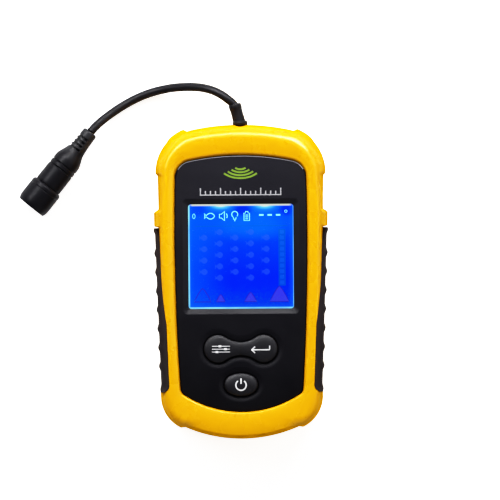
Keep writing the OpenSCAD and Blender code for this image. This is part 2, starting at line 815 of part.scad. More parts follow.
module backlight_leds() color("white") plate(board_top_z, guide_t) for (s = [-1, 1])
    translate([s * led_x, 0]) centred(guide_y1 + 0.1 + led_size.y / 2, led_size.x, led_size.y);

module lcd_frame() color("white") plate(board_top_z, lcd_z + lcd_t - board_top_z) difference() {
    centred(window_y, lcd_w + 2 * (fit + frame_wall), lcd_h + 2 * (fit + frame_wall));
    centred(window_y, lcd_w + 2 * fit, lcd_h + 2 * fit);
}

module contact_strip() color([0.3, 0.3, 0.3]) plate(board_top_z, lcd_z - board_top_z)
    centred(window_y - lcd_h / 2 + strip_w / 2, lcd_w - 4, strip_w);

// Electronics

module main_board() color(GREEN) difference() {
    plate(board_z, board_t) polygon(outline(panel_plan, board_inset));
    at_points(post_points, board_z - 1) cylinder(d = board_screw_d + 0.4, h = board_t + 2);
}

module board_screws() color(STEEL) at_points(post_points, board_z) difference() {
    union() {
        translate([0, 0, -board_head_t]) cylinder(d = board_head_d, h = board_head_t);
        cylinder(d = board_screw_d, h = board_screw_l);
    }
    for (a = [0, 90]) rotate(a) translate([0, 0, -board_head_t]) cube([0.5, 2.4, 1], center = true);
}

// A flat chip under the board, with a row of legs along its two long sides
module chip(at, size) {
    leg_pitch = size.y / (size[3] + 1);
    plate(board_z - size.z, size.z - leg_t / 2) translate([at.x, 0]) centred(at.y, size.x, size.y);
    plate(board_z - leg_t, leg_t) for (s = [-1, 1], i = [1:size[3]])
        translate([at.x + s * (size.x + leg_l) / 2 - s * leg_t / 2, 0])
            centred(at.y - size.y / 2 + i * leg_pitch, leg_l, leg_pitch / 2);
}

module processor_chip() color(BLACK) chip(processor_at, processor);
module receiver_chip() color(BLACK) chip(receiver_at, receiver);

// Step-up transformer: a wound bobbin between the limbs of its core
module pulse_transformer() color([0.25, 0.25, 0.28])
    translate([transformer_at.x, transformer_at.y, board_z - core.z]) {
        window_z = core.z - 2 * core_yoke;
        difference() {
            translate([-core.x / 2, -core.y / 2, 0]) cube(core);
            translate([0, 0, core_yoke]) cylinder(d = wound_d + 0.6, h = window_z);
            translate([-core_slot / 2, -core.y, core_yoke]) cube([core_slot, 2 * core.y, window_z]);
        }
        translate([0, 0, core_yoke]) cylinder(d = wound_d, h = window_z);
    }

module capacitor_cans() color([0.2, 0.25, 0.4])
    at_points(cans_at, board_z - can_h) cylinder(d = can_d, h = can_h);

module alarm_buzzer() color(BLACK) at_points([buzzer_at], board_z - buzzer_h) difference() {
    cylinder(d = buzzer_d, h = buzzer_h);
    translate([0, 0, -1]) cylinder(d = buzzer_hole_d, h = 2);
}

module lead_socket() color("white")
    box([-header_w / 2, header_w / 2], header_y, [board_z - header_h, board_z]);

// Two wires from the gland to the board
module sonar_leads() color([0.75, 0.1, 0.1]) {
    for (x = [-1, 1]) {
        start = [x, gland_foot_y, split_z];
        end = [x, header_y[1], board_z - header_h / 2];
        reach = end - start;
        swept([for (t = [0:0.25:1]) start + reach * t - [0, 0, 4 * lead_sag * t * (1 - t)]],
            wire_d, cord_sides, [0, -1, 0], [0, -1, 0]);
    }
}

// Two wires from the end contacts to the board
module battery_leads() color([0.1, 0.1, 0.1]) for (i = [0, cells - 1]) {
    x = cell_x(i);
    y = tray_y1;
    z = tray_roof_z - wire_hole_d;
    swept(concat([for (a = [0:22.5:90]) [x, y + wire_bend_r * sin(a), z + wire_bend_r * (1 - cos(a))]],
        [[x, y + wire_bend_r, board_z]]), wire_d, cord_sides, [0, 1, 0], [0, 0, 1], [1, 0, 0]);
}

// Battery bay

module battery_tray() color(BLACK) difference() {
    outer_x = tray_x + tray_wall;
    union() {
        box([-outer_x, outer_x], [tray_y0 - tray_wall, tray_y1 + tray_wall], [tray_z, tray_roof_z + tray_wall]);
        box([-outer_x - tray_flange, outer_x + tray_flange], [tray_y0 + 6, tray_y1 - 4],
            [frame_t, frame_t + tray_flange_t]);
    }
    box([-tray_x, tray_x], [tray_y0, tray_y1], [tray_z - 1, tray_roof_z]);
    for (i = [0, cells - 1]) translate([cell_x(i), tray_y1 - 1, tray_roof_z - wire_hole_d])
        rotate([-90, 0, 0]) cylinder(d = wire_hole_d, h = tray_wall + 2);
}

// Plates at the two ends of the cells, which join them one after the other
module contact_plates() color(STEEL) {
    half = cell_pitch / 2 - 0.8;
    z = [cell_z - 3.6, cell_z + 4.6];
    for (i = [0, 2]) box([cell_x(i) - half, cell_x(i + 1) + half], [tray_y0, tray_y0 + plate_t], z);
    box([cell_x(1) - half, cell_x(2) + half], [tray_y1 - plate_t, tray_y1], z);
    for (i = [0, cells - 1]) box([cell_x(i) - half, cell_x(i) + half], [tray_y1 - plate_t, tray_y1], z);
}

function cell_x(i) = (i - (cells - 1) / 2) * cell_pitch;
function nub_up(i) = i % 2 == 0;

// A cone-shaped coil of wire that stands on its contact plate
module contact_springs() color(STEEL) for (i = [0:cells - 1]) {
    up = nub_up(i) ? 1 : -1;
    y0 = nub_up(i) ? tray_y0 + plate_t : tray_y1 - plate_t;
    steps = ceil(spring_turns * 8);
    swept([for (k = [0:steps]) let (
            t = k / steps,
            r = spring_r0 + (spring_r1 - spring_r0) * t,
            a = 360 * spring_turns * t)
        [cell_x(i) + r * cos(a), y0 + up * (spring_foot + spring_run * t), cell_z + r * sin(a)]],
        spring_wire_d, spring_sides, [0, 0, 1], [0, 0, -1], [0, up, 0]);
}
echo(least_gap_in_springs = spring_run / spring_turns - spring_wire_d);

module battery(i) color([0.2, 0.2, 0.22]) {
    y0 = nub_up(i) ? tray_y0 + plate_t + spring_l : tray_y0 + plate_t;
    translate([cell_x(i), nub_up(i) ? y0 : y0 + cell_l, cell_z]) rotate([nub_up(i) ? -90 : 90, 0, 0]) {
        cylinder(d = cell_d, h = cell_l - cell_nub_l);
        cylinder(d = cell_nub_d, h = cell_l);
    }
}

module battery_door() color(YELLOW) difference() {
    intersection() {
        case_skin();
        door_prism(0);
    }
    for (i = [0:thumb_grooves - 1]) {
        y = -case_top + 10 + i * thumb_pitch;
        box([-thumb_w / 2, thumb_w / 2], [y, y + 1], [-1, thumb_depth]);
    }
}

// Lead and socket

module cable_gland() color(BLACK) translate([0, 0, split_z]) {
    rotate([-90, 0, 0]) {
        translate([0, 0, gland_y]) cylinder(d = gland_d, h = gland_t);
        translate([0, 0, gland_foot_y]) {
            cylinder(d = neck_d, h = gland_y - gland_foot_y + eps);
            cylinder(d = gland_inner_d, h = gland_inner_t);
        }
    }
    translate(sleeve_start - sleeve_bend_r * [cos(end_tilt), sin(end_tilt)])
        rotate_extrude(angle = end_tilt + sleeve_turn) translate([sleeve_bend_r, 0]) circle(d = sleeve_d);
}

module cord() color(BLACK) swept(cord_points, cord_d, cord_sides, sleeve_dir, socket_dir);

// Places children drawn along +Z at the socket, with z = 0 where the lead enters its tail
module along_socket() {
    translate(socket_origin) rotate([0, 0, socket_angle]) rotate([0, 90, 0]) children();
}

module connector_body() color(BLACK) along_socket() difference() {
    rotate_extrude() difference() {
        polygon([[0, 0], [tail_d0 / 2, 0], [tail_d1 / 2, tail_l], [barrel_d / 2, tail_l + cone_l],
            [barrel_d / 2, nut_z], [neck_r, nut_z], [neck_r, collar_z],
            [collar_r, collar_z], [collar_r, seal_z],
            [neck_r, seal_z], [neck_r, socket_end], [socket_d / 2, socket_end],
            [socket_d / 2, insert_z + insert_t], [insert_d / 2, insert_z + insert_t],
            [insert_d / 2, insert_z], [0, insert_z]]);
        for (y = barrel_grooves) translate([barrel_d / 2, y]) circle(d = groove_d);
    }
    for (i = [0:tail_slots - 1], a = [0, 180]) rotate(a + 90 * (i % 2))
        translate([tail_d0 / 2 - slot_depth, -tail_d1 / 2, slot_start + i * slot_pitch])
            cube([tail_d1, tail_d1, slot_w]);
}

module at_contacts() {
    for (i = [0:socket_ways - 1])
        rotate(90 + 360 * i / socket_ways) translate([contact_ring_r, 0, 0]) children();
}

module socket_insert() color([0.3, 0.3, 0.32]) along_socket() translate([0, 0, insert_z]) difference() {
    cylinder(d = insert_d - 2 * seat_gap, h = insert_t);
    at_contacts() translate([0, 0, -1]) cylinder(d = contact_d, h = insert_t + 2);
}

module socket_contacts() color("goldenrod") along_socket() translate([0, 0, insert_z])
    at_contacts() difference() {
        cylinder(d = contact_d - 2 * seat_gap, h = insert_t);
        translate([0, 0, contact_wall]) cylinder(d = contact_d - 2 * seat_gap - 2 * contact_wall, h = insert_t);
    }

module socket_seal() color([0.5, 0.15, 0.1]) along_socket() translate([0, 0, seal_z]) difference() {
    cylinder(r = collar_r - seat_gap, h = socket_seal_t);
    translate([0, 0, -1]) cylinder(r = neck_r + seat_gap, h = socket_seal_t + 2);
}

module coupling_nut() color(BLACK) along_socket() rotate_extrude()
    polygon([[neck_r + turn_gap, nut_z + turn_gap], [nut_r - nut_edge / 2, nut_z + turn_gap],
        [nut_r, nut_z + nut_edge / 2], [nut_r, nut_z + nut_l - nut_edge],
        [nut_r - nut_edge, nut_z + nut_l], [thread_r, nut_z + nut_l],
        [thread_r, nut_z + nut_lip], [neck_r + turn_gap, nut_z + nut_lip]]);

front_shell();
rear_shell();
case_seal();
case_screws();
front_panel();
left_grip();
right_grip();
display_lens();
lcd_glass();
light_guide();
backlight_leds();
lcd_frame();
contact_strip();
main_board();
board_screws();
contact_pads();
processor_chip();
receiver_chip();
pulse_transformer();
capacitor_cans();
alarm_buzzer();
lead_socket();
sonar_leads();
battery_leads();
keypad_mat();
setup_key();
setup_pill();
enter_key();
enter_pill();
power_key();
power_pill();
battery_tray();
contact_plates();
contact_springs();
battery(0);  // battery_1
battery(1);  // battery_2
battery(2);  // battery_3
battery(3);  // battery_4
battery_door();
cable_gland();
cord();
connector_body();
socket_insert();
socket_contacts();
socket_seal();
coupling_nut();
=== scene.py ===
"""Looks of a handheld fish finder, modelled round its packed frame and laid out as an add-on."""

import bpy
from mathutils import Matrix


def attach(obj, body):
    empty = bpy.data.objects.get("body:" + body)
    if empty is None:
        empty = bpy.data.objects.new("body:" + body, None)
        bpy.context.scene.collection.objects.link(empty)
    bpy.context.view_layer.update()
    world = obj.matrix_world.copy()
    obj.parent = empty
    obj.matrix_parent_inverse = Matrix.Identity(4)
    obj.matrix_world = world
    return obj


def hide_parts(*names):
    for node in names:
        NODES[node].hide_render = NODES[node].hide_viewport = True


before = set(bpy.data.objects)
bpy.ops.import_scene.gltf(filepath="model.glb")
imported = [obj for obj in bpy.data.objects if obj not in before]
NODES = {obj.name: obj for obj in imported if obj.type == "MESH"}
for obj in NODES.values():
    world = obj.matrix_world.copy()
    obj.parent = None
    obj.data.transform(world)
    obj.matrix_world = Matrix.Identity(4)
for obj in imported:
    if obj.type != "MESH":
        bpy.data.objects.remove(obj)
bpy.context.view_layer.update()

import math
from types import SimpleNamespace

import bmesh
import bpy
from bpy.props import FloatProperty, FloatVectorProperty, PointerProperty
from mathutils import Vector

bl_info = {
    "name": "Handheld fish finder",
    "version": (1, 0, 0),
    "blender": (4, 5, 0),
    "location": "View3D > Sidebar > Fish finder",
    "description": "Models the looks of a handheld fish finder round its packed frame",
    "category": "Object",
}

MM = 0.001


# Sizes and colours


def length(name, description, millimetres):
    return FloatProperty(name=name, description=description, default=millimetres * MM,
                         unit="LENGTH", subtype="DISTANCE")


def colour(name, description, value):
    return FloatVectorProperty(name=name, description=description, default=value, size=3,
                               subtype="COLOR", min=0, max=1)


def power(name, description, watts):
    return FloatProperty(name=name, description=description, default=watts, unit="POWER")


class FINDER_PG_case(bpy.types.PropertyGroup):
    """Sizes of the case"""

    top: length("Upper end", "Place of the upper end", 62.5)
    foot: length("Lower end", "Place of the lower end", -63)
    thick: length("Thickness", "Height of the rim's crest above the back", 30)
    shoulder: length("Shoulder", "Width at the upper corners", 66.2)
    hip: length("Hip", "Width at the lower corners", 63)
    top_r: length("Upper end radius", "Radius of the upper end", 94)
    bottom_r: length("Lower end radius", "Radius of the lower end", 56.4)
    top_corner: length("Upper corners", "Radius of the upper corners", 17.5)
    bottom_corner: length("Lower corners", "Radius of the lower corners", 13)
    split: length("Split", "Height of the line between the two shells", 17)
    crown: length("Crown", "Height of the rounding up to the crest at the upper end", 6)
    side_crown: length("Side crown", "Height of the rounding elsewhere", 2.8)
    draft: length("Draft", "How far the front shell's wall leans in below the crown", 0.5)
    crest: length("Crest", "Distance from the edge to the rim's crest at the upper end", 5.4)
    side_crest: length("Side crest", "Distance from the edge to the rim's crest elsewhere", 2.4)
    rim_fall: length("Rim fall", "Drop of the rim from its crest to the panel", 0.6)
    back_roll: length("Back roll", "Width of the back edge's rounding", 4.5)
    back_rise: length("Back rise", "Height of the back edge's rounding", 6)
    corner_pad: length("Corner pads", "How far the corner pads stand proud", 0.9)
    side_pad: length("Side pads", "How far the side pads stand proud", 1.9)
    end_wall: length("End wall", "Wall at the two ends", 3.4)
    side_wall: length("Side wall", "Wall behind the grips", 3)
    groove: length("Parting line", "Half width of the groove between the shells", 0.3)


class FINDER_PG_grips(bpy.types.PropertyGroup):
    """Sizes of the rubber grips"""

    top_y: length("Upper end", "Place of the upper end", 21.4)
    foot_y: length("Lower end", "Place of the lower end", -44.1)
    in_top: length("Depth above", "Depth in the shells at the upper end", 1.3)
    in_foot: length("Depth below", "Depth in the shells at the lower end", 2.6)
    out_top: length("Proud above", "How far they stand out at the upper end", 1.7)
    out_foot: length("Proud below", "How far they stand out at the lower end", 0.5)
    low: length("Lower edge", "Height of the lower edge", 7)
    high_top: length("Upper edge above", "Height of the upper edge at the upper end", 17.6)
    high_foot: length("Upper edge below", "Height of the upper edge at the lower end", 30.1)
    foot_run: length("Foot run", "Length of the lower end's rounding in plan", 2.4)
    rib_pitch: length("Rib pitch", "Spacing of the ribs", 7.5)
    rib_first: length("First rib", "Distance from the upper end to the first rib", 10.1)
    rib_proud: length("Rib height", "How far a rib stands out", 0.6)
    rib_half: length("Rib half length", "Half the length of a rib", 2.2)


class FINDER_PG_front(bpy.types.PropertyGroup):
    """Sizes of the panel, display and keys"""

    panel_top: length("Panel top", "Upper end of the panel", 50.2)
    panel_foot: length("Panel foot", "Lower end of the panel", -52)
    panel_half: length("Panel half width", "Half width at the upper corners", 26.1)
    panel_foot_half: length("Panel foot half width", "Half width at the lower corners", 24.4)
    panel_z: length("Panel face", "Height of the panel's face", 28)
    panel_under: length("Panel underside", "Height of the panel's underside", 26)
    window_w: length("Window width", "Width of the window", 42)
    window_h: length("Window height", "Height of the window", 41.7)
    window_y: length("Window place", "Middle of the window", 9.9)
    bevel: length("Bevel", "Width of the window's bevel", 2)
    glass_z: length("Display face", "Height of the display glass", 24.6)
    lobe_x: length("Lobe place", "Middle of a lobe of the paired key", 9.1)
    lobe_r: length("Lobe radius", "Radius of a lobe", 5.6)
    neck: length("Neck", "Height of the paired key's neck", 5.4)
    pair_y: length("Paired key", "Place of the paired key", -26.9)
    power_w: length("Power key width", "Width of the power key", 13.4)
    power_h: length("Power key height", "Height of the power key", 9.2)
    power_y: length("Power key", "Place of the power key", -41.2)
    key_x: length("Key shift", "Place of the keys across the panel", -0.35)
    key_z: length("Key tops", "Height of the keys' crowns", 29.3)
    key_gap: length("Key gap", "Gap round a key", 0.35)


class FINDER_PG_lead(bpy.types.PropertyGroup):
    """Sizes of the lead, its gland and the connector"""

    cord: length("Cord", "Diameter of the lead", 3.4)
    sleeve_bend: length("Sleeve bend", "Radius of the sleeve's bend", 12)
    barrel: length("Barrel", "Diameter of the connector's barrel", 11.3)
    nut: length("Nut", "Diameter of the coupling nut", 13.2)
    nut_l: length("Nut length", "Length of the coupling nut", 10.8)
    bore: length("Bore", "Diameter of the socket", 7.8)


class FINDER_PG_colours(bpy.types.PropertyGroup):
    """Colours of the finishes"""

    case: colour("Case", "Satin yellow plastic", (0.82, 0.42, 0.003))
    panel: colour("Panel", "Charcoal panel at its lower end", (0.011, 0.0105, 0.0145))
    # The panel's upper-end colour is painted sheen: the panel is shaded lighter towards its upper end,
    # as the lights above reflect in it
    panel_top: colour("Panel top", "Charcoal panel at its upper end", (0.038, 0.037, 0.046))
    rubber: colour("Rubber", "Grips and seals", (0.044, 0.034, 0.035))
    keys: colour("Keys", "Key caps", (0.02, 0.0195, 0.025))
    jacket: colour("Lead", "Jacket of the lead", (0.018, 0.0175, 0.022))
    socket: colour("Connector", "Connector and nut", (0.0165, 0.016, 0.0205))
    # The tail colour is a painted highlight rather than rubbing: the connector's ridged tail is shaded
    # paler where light catches its ridges
    tail: colour("Tail", "Rubbed tail of the connector", (0.044, 0.044, 0.049))
    # A painted highlight: a pale strip stands in for light catching the panel's upper edge
    cut_edge: colour("Cut edge", "Bright upper edge of the panel", (0.42, 0.42, 0.435))
    legend: colour("Legends", "Symbols on the keys", (0.735, 0.74, 0.75))
    print_green: colour("Green print", "Green marks on the panel", (0.23, 0.345, 0.065))
    print_grey: colour("Grey print", "Pale marks on the panel", (0.42, 0.42, 0.44))
    screen: colour("Screen", "Backlit field of the display", (0.0, 0.0394, 0.852))
    glow: colour("Glow", "Light at the display's edges", (0.301, 0.707, 0.81))


class FINDER_PG_stage(bpy.types.PropertyGroup):
    """Camera and light"""

    camera_z: length("Camera height", "Height of the camera", 3000)
    camera_x: length("Camera across", "Place of the camera across the part", 3.6)
    camera_y: length("Camera along", "Place of the camera along the part", 12.4)
    camera_roll: FloatProperty(name="Camera roll", description="Turn of the camera about its view",
                               default=math.radians(-0.4), unit="ROTATION", subtype="ANGLE")
    view: length("View", "Width of the view at the case's middle height", 200)
    floor: colour("Floor", "Pale floor", (0.95, 0.95, 0.95))
    bounce: colour("Floor bounce", "Floor as the part sees it", (0.9, 0.9, 0.9))
    glow: FloatProperty(name="Floor glow", description="Light of its own that lifts the shadows",
                        default=0.62)
    key_power: power("Key light", "Power of the strip beyond the lead", 6.2)
    side_power: power("Side lights", "Power of a side light, before its share", 2.0)
    fill_power: power("Fill", "Power of the soft light at the lower end", 0.7)
    lamp_power: power("Lamp", "Power of the soft lamp over the upper end", 0.22)
    glint_power: power("Glint", "Power of the panel that only reflections show", 4.6)
    sky: FloatProperty(name="Sky", description="Strength of the even light", default=0.09)


GROUPS = {"case": FINDER_PG_case, "grips": FINDER_PG_grips, "front": FINDER_PG_front,
          "lead": FINDER_PG_lead, "colours": FINDER_PG_colours, "stage": FINDER_PG_stage}


def settings(group):
    return getattr(bpy.context.scene, "finder_" + group)


def sizes(group):
    """A group's lengths in millimetres."""
    values = settings(group)
    return SimpleNamespace(**{key: getattr(values, key) / MM for key in GROUPS[group].__annotations__})


# Modelling steps


def deselect():
    if bpy.context.object and bpy.context.object.mode != "OBJECT":
        bpy.ops.object.mode_set(mode="OBJECT")
    bpy.ops.object.select_all(action="DESELECT")


def pick(*objects):
    deselect()
    for obj in objects:
        obj.select_set(True)
    bpy.context.view_layer.objects.active = objects[0]


def clean(obj):
    """Merges doubles and turns the faces outwards."""
    pick(obj)
    bpy.ops.object.mode_set(mode="EDIT")
    bpy.ops.mesh.select_all(action="SELECT")
    bpy.ops.mesh.remove_doubles(threshold=0.001 * MM)
    bpy.ops.mesh.normals_make_consistent(inside=False)
    bpy.ops.object.mode_set(mode="OBJECT")
    return obj


def loft(name, rings, caps=(True, True)):
    """A circle laid on the first outline and extruded onto each of the others, in millimetres."""
    count = len(rings[0])
    deselect()
    bpy.ops.mesh.primitive_circle_add(vertices=count, radius=MM, location=(0, 0, 0))
    obj = bpy.context.active_object
    obj.name = obj.data.name = name
    bpy.ops.object.mode_set(mode="EDIT")
    mesh = bmesh.from_edit_mesh(obj.data)
    mesh.verts.ensure_lookup_table()
    ring = list(mesh.verts)
    first = ring
    for vert, point in zip(ring, rings[0]):
        vert.co = Vector(point) * MM
    for points in rings[1:]:
        bpy.ops.mesh.extrude_edges_indiv()
        mesh.verts.index_update()
        mesh.verts.ensure_lookup_table()
        order = {vert.index: i for i, vert in enumerate(ring)}
        ring = [None] * count
        for vert in mesh.verts[-count:]:
            for edge in vert.link_edges:
                place = order.get(edge.other_vert(vert).index)
                if place is not None:
                    ring[place] = vert
        for vert, point in zip(ring, points):
            vert.co = Vector(point) * MM
    for end, wanted in zip((first, ring), caps):
        if wanted:
            bpy.ops.mesh.select_all(action="DESELECT")
            for vert in end:
                vert.select = True
            mesh.select_flush(True)
            bpy.ops.mesh.edge_face_add()
    bmesh.update_edit_mesh(obj.data)
    return clean(obj)


def hoop(name, rings):
    """A loft whose last ring runs back into its first, so that it closes on itself."""
    return loft(name, rings + [rings[0]], caps=(False, False))


def turned(name, profile, origin, axis, steps=72):
    """A closed half section of (radius, place along the axis) in millimetres, spun round the axis."""
    axis = Vector(axis).normalized()
    side = axis.orthogonal().normalized()
    deselect()
    bpy.ops.mesh.primitive_circle_add(vertices=len(profile), radius=MM, location=(0, 0, 0))
    obj = bpy.context.active_object
    obj.name = obj.data.name = name
    bpy.ops.object.mode_set(mode="EDIT")
    mesh = bmesh.from_edit_mesh(obj.data)
    for vert, (radius, along) in zip(mesh.verts, profile):
        vert.co = (Vector(origin) + side * radius + axis * along) * MM
    bpy.ops.mesh.select_all(action="SELECT")
    bpy.ops.mesh.spin(steps=steps, angle=math.tau, center=Vector(origin) * MM, axis=axis)
    return clean(obj)


def cut(obj, *cutters, how="DIFFERENCE"):
    """Cuts one shape with others, which are used up."""
    for cutter in cutters:
        pick(obj)
        step = obj.modifiers.new("cut", "BOOLEAN")
        step.object, step.operation, step.solver = cutter, how, "EXACT"
        bpy.ops.object.modifier_apply(modifier=step.name)
        bpy.data.objects.remove(cutter)
    return obj


def even_normals(obj):
    """Lets the larger faces rule the shading where they meet small ones."""
    pick(obj)
    step = obj.modifiers.new("even", "WEIGHTED_NORMAL")
    step.keep_sharp = True
    bpy.ops.object.modifier_apply(modifier=step.name)


def joined(name, objects):
    pick(*objects)
    if len(objects) > 1:
        bpy.ops.object.join()
    obj = bpy.context.active_object
    obj.name = obj.data.name = name
    return obj


def copied(obj, name, shift):
    """A copy with its own mesh, moved by millimetres."""
    twin = obj.copy()
    twin.data = obj.data.copy()
    twin.name = twin.data.name = name
    bpy.context.scene.collection.objects.link(twin)
    pick(twin)
    bpy.ops.object.mode_set(mode="EDIT")
    bpy.ops.mesh.select_all(action="SELECT")
    bpy.ops.transform.translate(value=Vector(shift) * MM)
    bpy.ops.object.mode_set(mode="OBJECT")
    return twin


def block(name, low, high):
    """A box between two corners in millimetres, for cutting."""
    (x0, y0, z0), (x1, y1, z1) = low, high
    plan = [(x0, y0), (x1, y0), (x1, y1), (x0, y1)]
    return loft(name, [[(x, y, z) for x, y in plan] for z in (z0, z1)])


def rod(name, start, end, radius, sides=40):
    """A round bar between two points in millimetres, for cutting."""
    start, end = Vector(start), Vector(end)
    axis = (end - start).normalized()
    return turned(name, [(0, 0), (radius, 0), (radius, (end - start).length),
                         (0, (end - start).length)], start, axis, sides)


def stroke(path, width, low, high, closed=False):
    """A flat line of print along points in plan, between two heights."""
    points = [Vector(point) for point in path]
    rings = []
    for i, point in enumerate(points):
        before = points[i - 1] if i or closed else point
        after = points[(i + 1) % len(points)] if i + 1 < len(points) or closed else point
        heading = (after - before).normalized()
        side = Vector((-heading.y, heading.x)) * width / 2
        left, right = point + side, point - side
        rings.append([(*left, high), (*right, high), (*right, low), (*left, low)])
    return hoop("line", rings) if closed else loft("line", rings)


def patch(outline_points, low, high):
    """A flat filled shape between two heights."""
    return loft("patch", [[(x, y, z) for x, y in outline_points] for z in (low, high)])


def drape(obj, target):
    """Lays a flat print on a crowned surface below it."""
    for vert in obj.data.vertices:
        hit, place, _, _ = target.ray_cast((vert.co.x, vert.co.y, 1), (0, 0, -1))
        if not hit:
            raise RuntimeError(f"{obj.name} reaches past {target.name}")
        vert.co.z += place.z
    return obj


# Outlines, in millimetres


def ease(value, low, high):
    """A smooth step from 0 at low to 1 at high, which may be the smaller of the two."""
    share = max(0.0, min(1.0, (value - low) / (high - low)))
    return share * share * (3 - 2 * share)


def mix(first, second, share):
    return first + (second - first) * share


def turns(count):
    """Angles all the way round in even steps."""
    return [math.tau * k / count for k in range(count)]


def arc(centre, radius, start, end, count):
    return [(centre[0] + radius * math.cos(start + (end - start) * i / count),
             centre[1] + radius * math.sin(start + (end - start) * i / count))
            for i in range(1, count + 1)]


def ellipse(x, y, half_x, half_y, count=16):
    return [(x + half_x * math.cos(angle), y + half_y * math.sin(angle)) for angle in turns(count)]


def lifted(points, z):
    return [(point[0], point[1], z) for point in points]


def corner_at(x, radius, end_y, end_r, up):
    """Centre of the corner arc that touches both the end arc and the line x."""
    rise = math.sqrt((end_r - radius) ** 2 - (x - radius) ** 2)
    return Vector((x - radius, end_y - up * end_r + up * rise))


END_STEPS, CORNER_STEPS = 18, 44
# Shares of a side's length at which the spacing of its points changes, and the steps between
SIDE_STEPS = [(0.0, 0), (0.68, 46), (0.88, 40), (1.0, 14)]
SIDE_SHARES = [mix(first[0], last[0], i / last[1])
               for first, last in zip(SIDE_STEPS, SIDE_STEPS[1:]) for i in range(1, last[1] + 1)]


class Outline:
    """A plan of two end arcs, four corner arcs and two sides that may bulge."""

    def __init__(self, top, foot, half_top, half_foot, top_r, foot_r, top_corner, foot_corner,
                 belly=0.0):
        self.top, self.foot, self.top_r, self.foot_r = top, foot, top_r, foot_r
        self.top_corner, self.foot_corner, self.belly = top_corner, foot_corner, belly
        self.upper = corner_at(half_top, top_corner, top, top_r, 1)
        self.lower = corner_at(half_foot, foot_corner, foot, foot_r, -1)
        run = self.upper - self.lower
        self.out = math.atan2(run.y, run.x) - math.acos((foot_corner - top_corner) / run.length)

    def outwards(self):
        """Direction straight out of the right side."""
        return Vector((math.cos(self.out), math.sin(self.out)))

    def side(self, inset=0.0):
        """Both ends of the right side, from the lower one."""
        out = self.outwards()
        return (self.lower + out * (self.foot_corner - inset),
                self.upper + out * (self.top_corner - inset))

    def side_x(self, y):
        low, high = self.side()
        return mix(low.x, high.x, (y - low.y) / (high.y - low.y))

    def points(self, inset=0.0):
        """Counter-clockwise points, moved inwards, from the middle of the lower end."""
        upper_mid = Vector((0, self.top - self.top_r))
        lower_mid = Vector((0, self.foot + self.foot_r))
        upper_angle = math.atan2(*reversed(self.upper - upper_mid))
        lower_angle = math.atan2(*reversed(self.lower - lower_mid))
        low, high = self.side(inset)
        out = self.outwards()
        right = [(0.0, self.foot + inset)]
        right += arc(lower_mid, self.foot_r - inset, -math.pi / 2, lower_angle, END_STEPS)
        right += arc(self.lower, self.foot_corner - inset, lower_angle, self.out, CORNER_STEPS)
        right += [tuple(low + (high - low) * share + out * 4 * share * (1 - share) * self.belly)
                  for share in SIDE_SHARES]
        right += arc(self.upper, self.top_corner - inset, self.out, upper_angle, CORNER_STEPS)
        right += arc(upper_mid, self.top_r - inset, upper_angle, math.pi / 2, END_STEPS)
        return right + [(-x, y) for x, y in right[-2:0:-1]]


# Radii of the panel's ends and corners, and how far its sides bow out
PANEL_TOP_R, PANEL_FOOT_R = 100, 42
PANEL_TOP_CORNER, PANEL_FOOT_CORNER, PANEL_BELLY = 7, 3, 0.9


def case_outline():
    case = sizes("case")
    return Outline(case.top, case.foot, case.shoulder / 2, case.hip / 2, case.top_r, case.bottom_r,
                   case.top_corner, case.bottom_corner)


def panel_outline():
    front = sizes("front")
    return Outline(front.panel_top, front.panel_foot, front.panel_half, front.panel_foot_half,
                   PANEL_TOP_R, PANEL_FOOT_R, PANEL_TOP_CORNER, PANEL_FOOT_CORNER, PANEL_BELLY)


# Case surface, in millimetres


# Places between which the pads rise from nothing to all of their height
TOP_PAD_X, TOP_PAD_Y = (21.2, 22.5), (42.1, 43.3)
FOOT_PAD_X, FOOT_PAD_Y = (22.7, 24.2), (-41.9, -43.4)
SIDE_PAD_X, SIDE_PAD_UPPER_Y, SIDE_PAD_LOWER_Y = (26.5, 28.5), (29, 27.4), (21.5, 22.1)
# The upper pads swell by a share of their height towards the upper end
SWELL, SWELL_Y = 0.4, (54.5, 56.5)


def pad_rise(x, y):
    """Rise of the corner and side pads above the plain wall."""
    case, x = sizes("case"), abs(x)
    at_top = ease(x, *TOP_PAD_X) * ease(y, *TOP_PAD_Y) * (1 + SWELL * ease(y, *SWELL_Y))
    at_foot = ease(x, *FOOT_PAD_X) * ease(y, *FOOT_PAD_Y)
    at_side = ease(x, *SIDE_PAD_X) * ease(y, *SIDE_PAD_UPPER_Y) * ease(y, *SIDE_PAD_LOWER_Y)
    return case.corner_pad * max(at_top, at_foot) + case.side_pad * at_side


# Heights between which a pad rises from the back, and between which it fades at the front:
# by a share of it in the lower half, and all of it in the upper half, sooner at the upper end
PAD_START_Z = (2, 6)
FOOT_FADE, FOOT_FADE_Z = 0.3, (24, 30)
TOP_FADE_Z, END_FADE_Z, END_FADE_Y = (26, 30), (19, 28.5), (46, 54)
UPPER_HALF_Y = (0, 10)


def pad_share(y, z):
    """Share of a pad's rise at a height: the upper pads run out below the rim's crest."""
    near_end = ease(y, *END_FADE_Y)
    above = ease(z, *(mix(first, last, near_end) for first, last in zip(TOP_FADE_Z, END_FADE_Z)))
    faded = mix(FOOT_FADE * ease(z, *FOOT_FADE_Z), above, ease(y, *UPPER_HALF_Y))
    return ease(z, *PAD_START_Z) * (1 - faded)


# Gap between the panel and the rim, and width of the ledge that the panel lies on
WELL_GAP, LEDGE = 0.15, 1.6
# The full round of the upper end: where it begins, and limits of its crest
FULL_ROUND_Y, LEAST_CREST, CREST_SHARE = (27, 45), 3.2, 0.56
# The softer lower corners: where they are, and what their crest and crown gain
SOFT_X, SOFT_Y, SOFT_CREST, SOFT_CROWN = (15, 24), (-42, -50), 2.0, 0.3
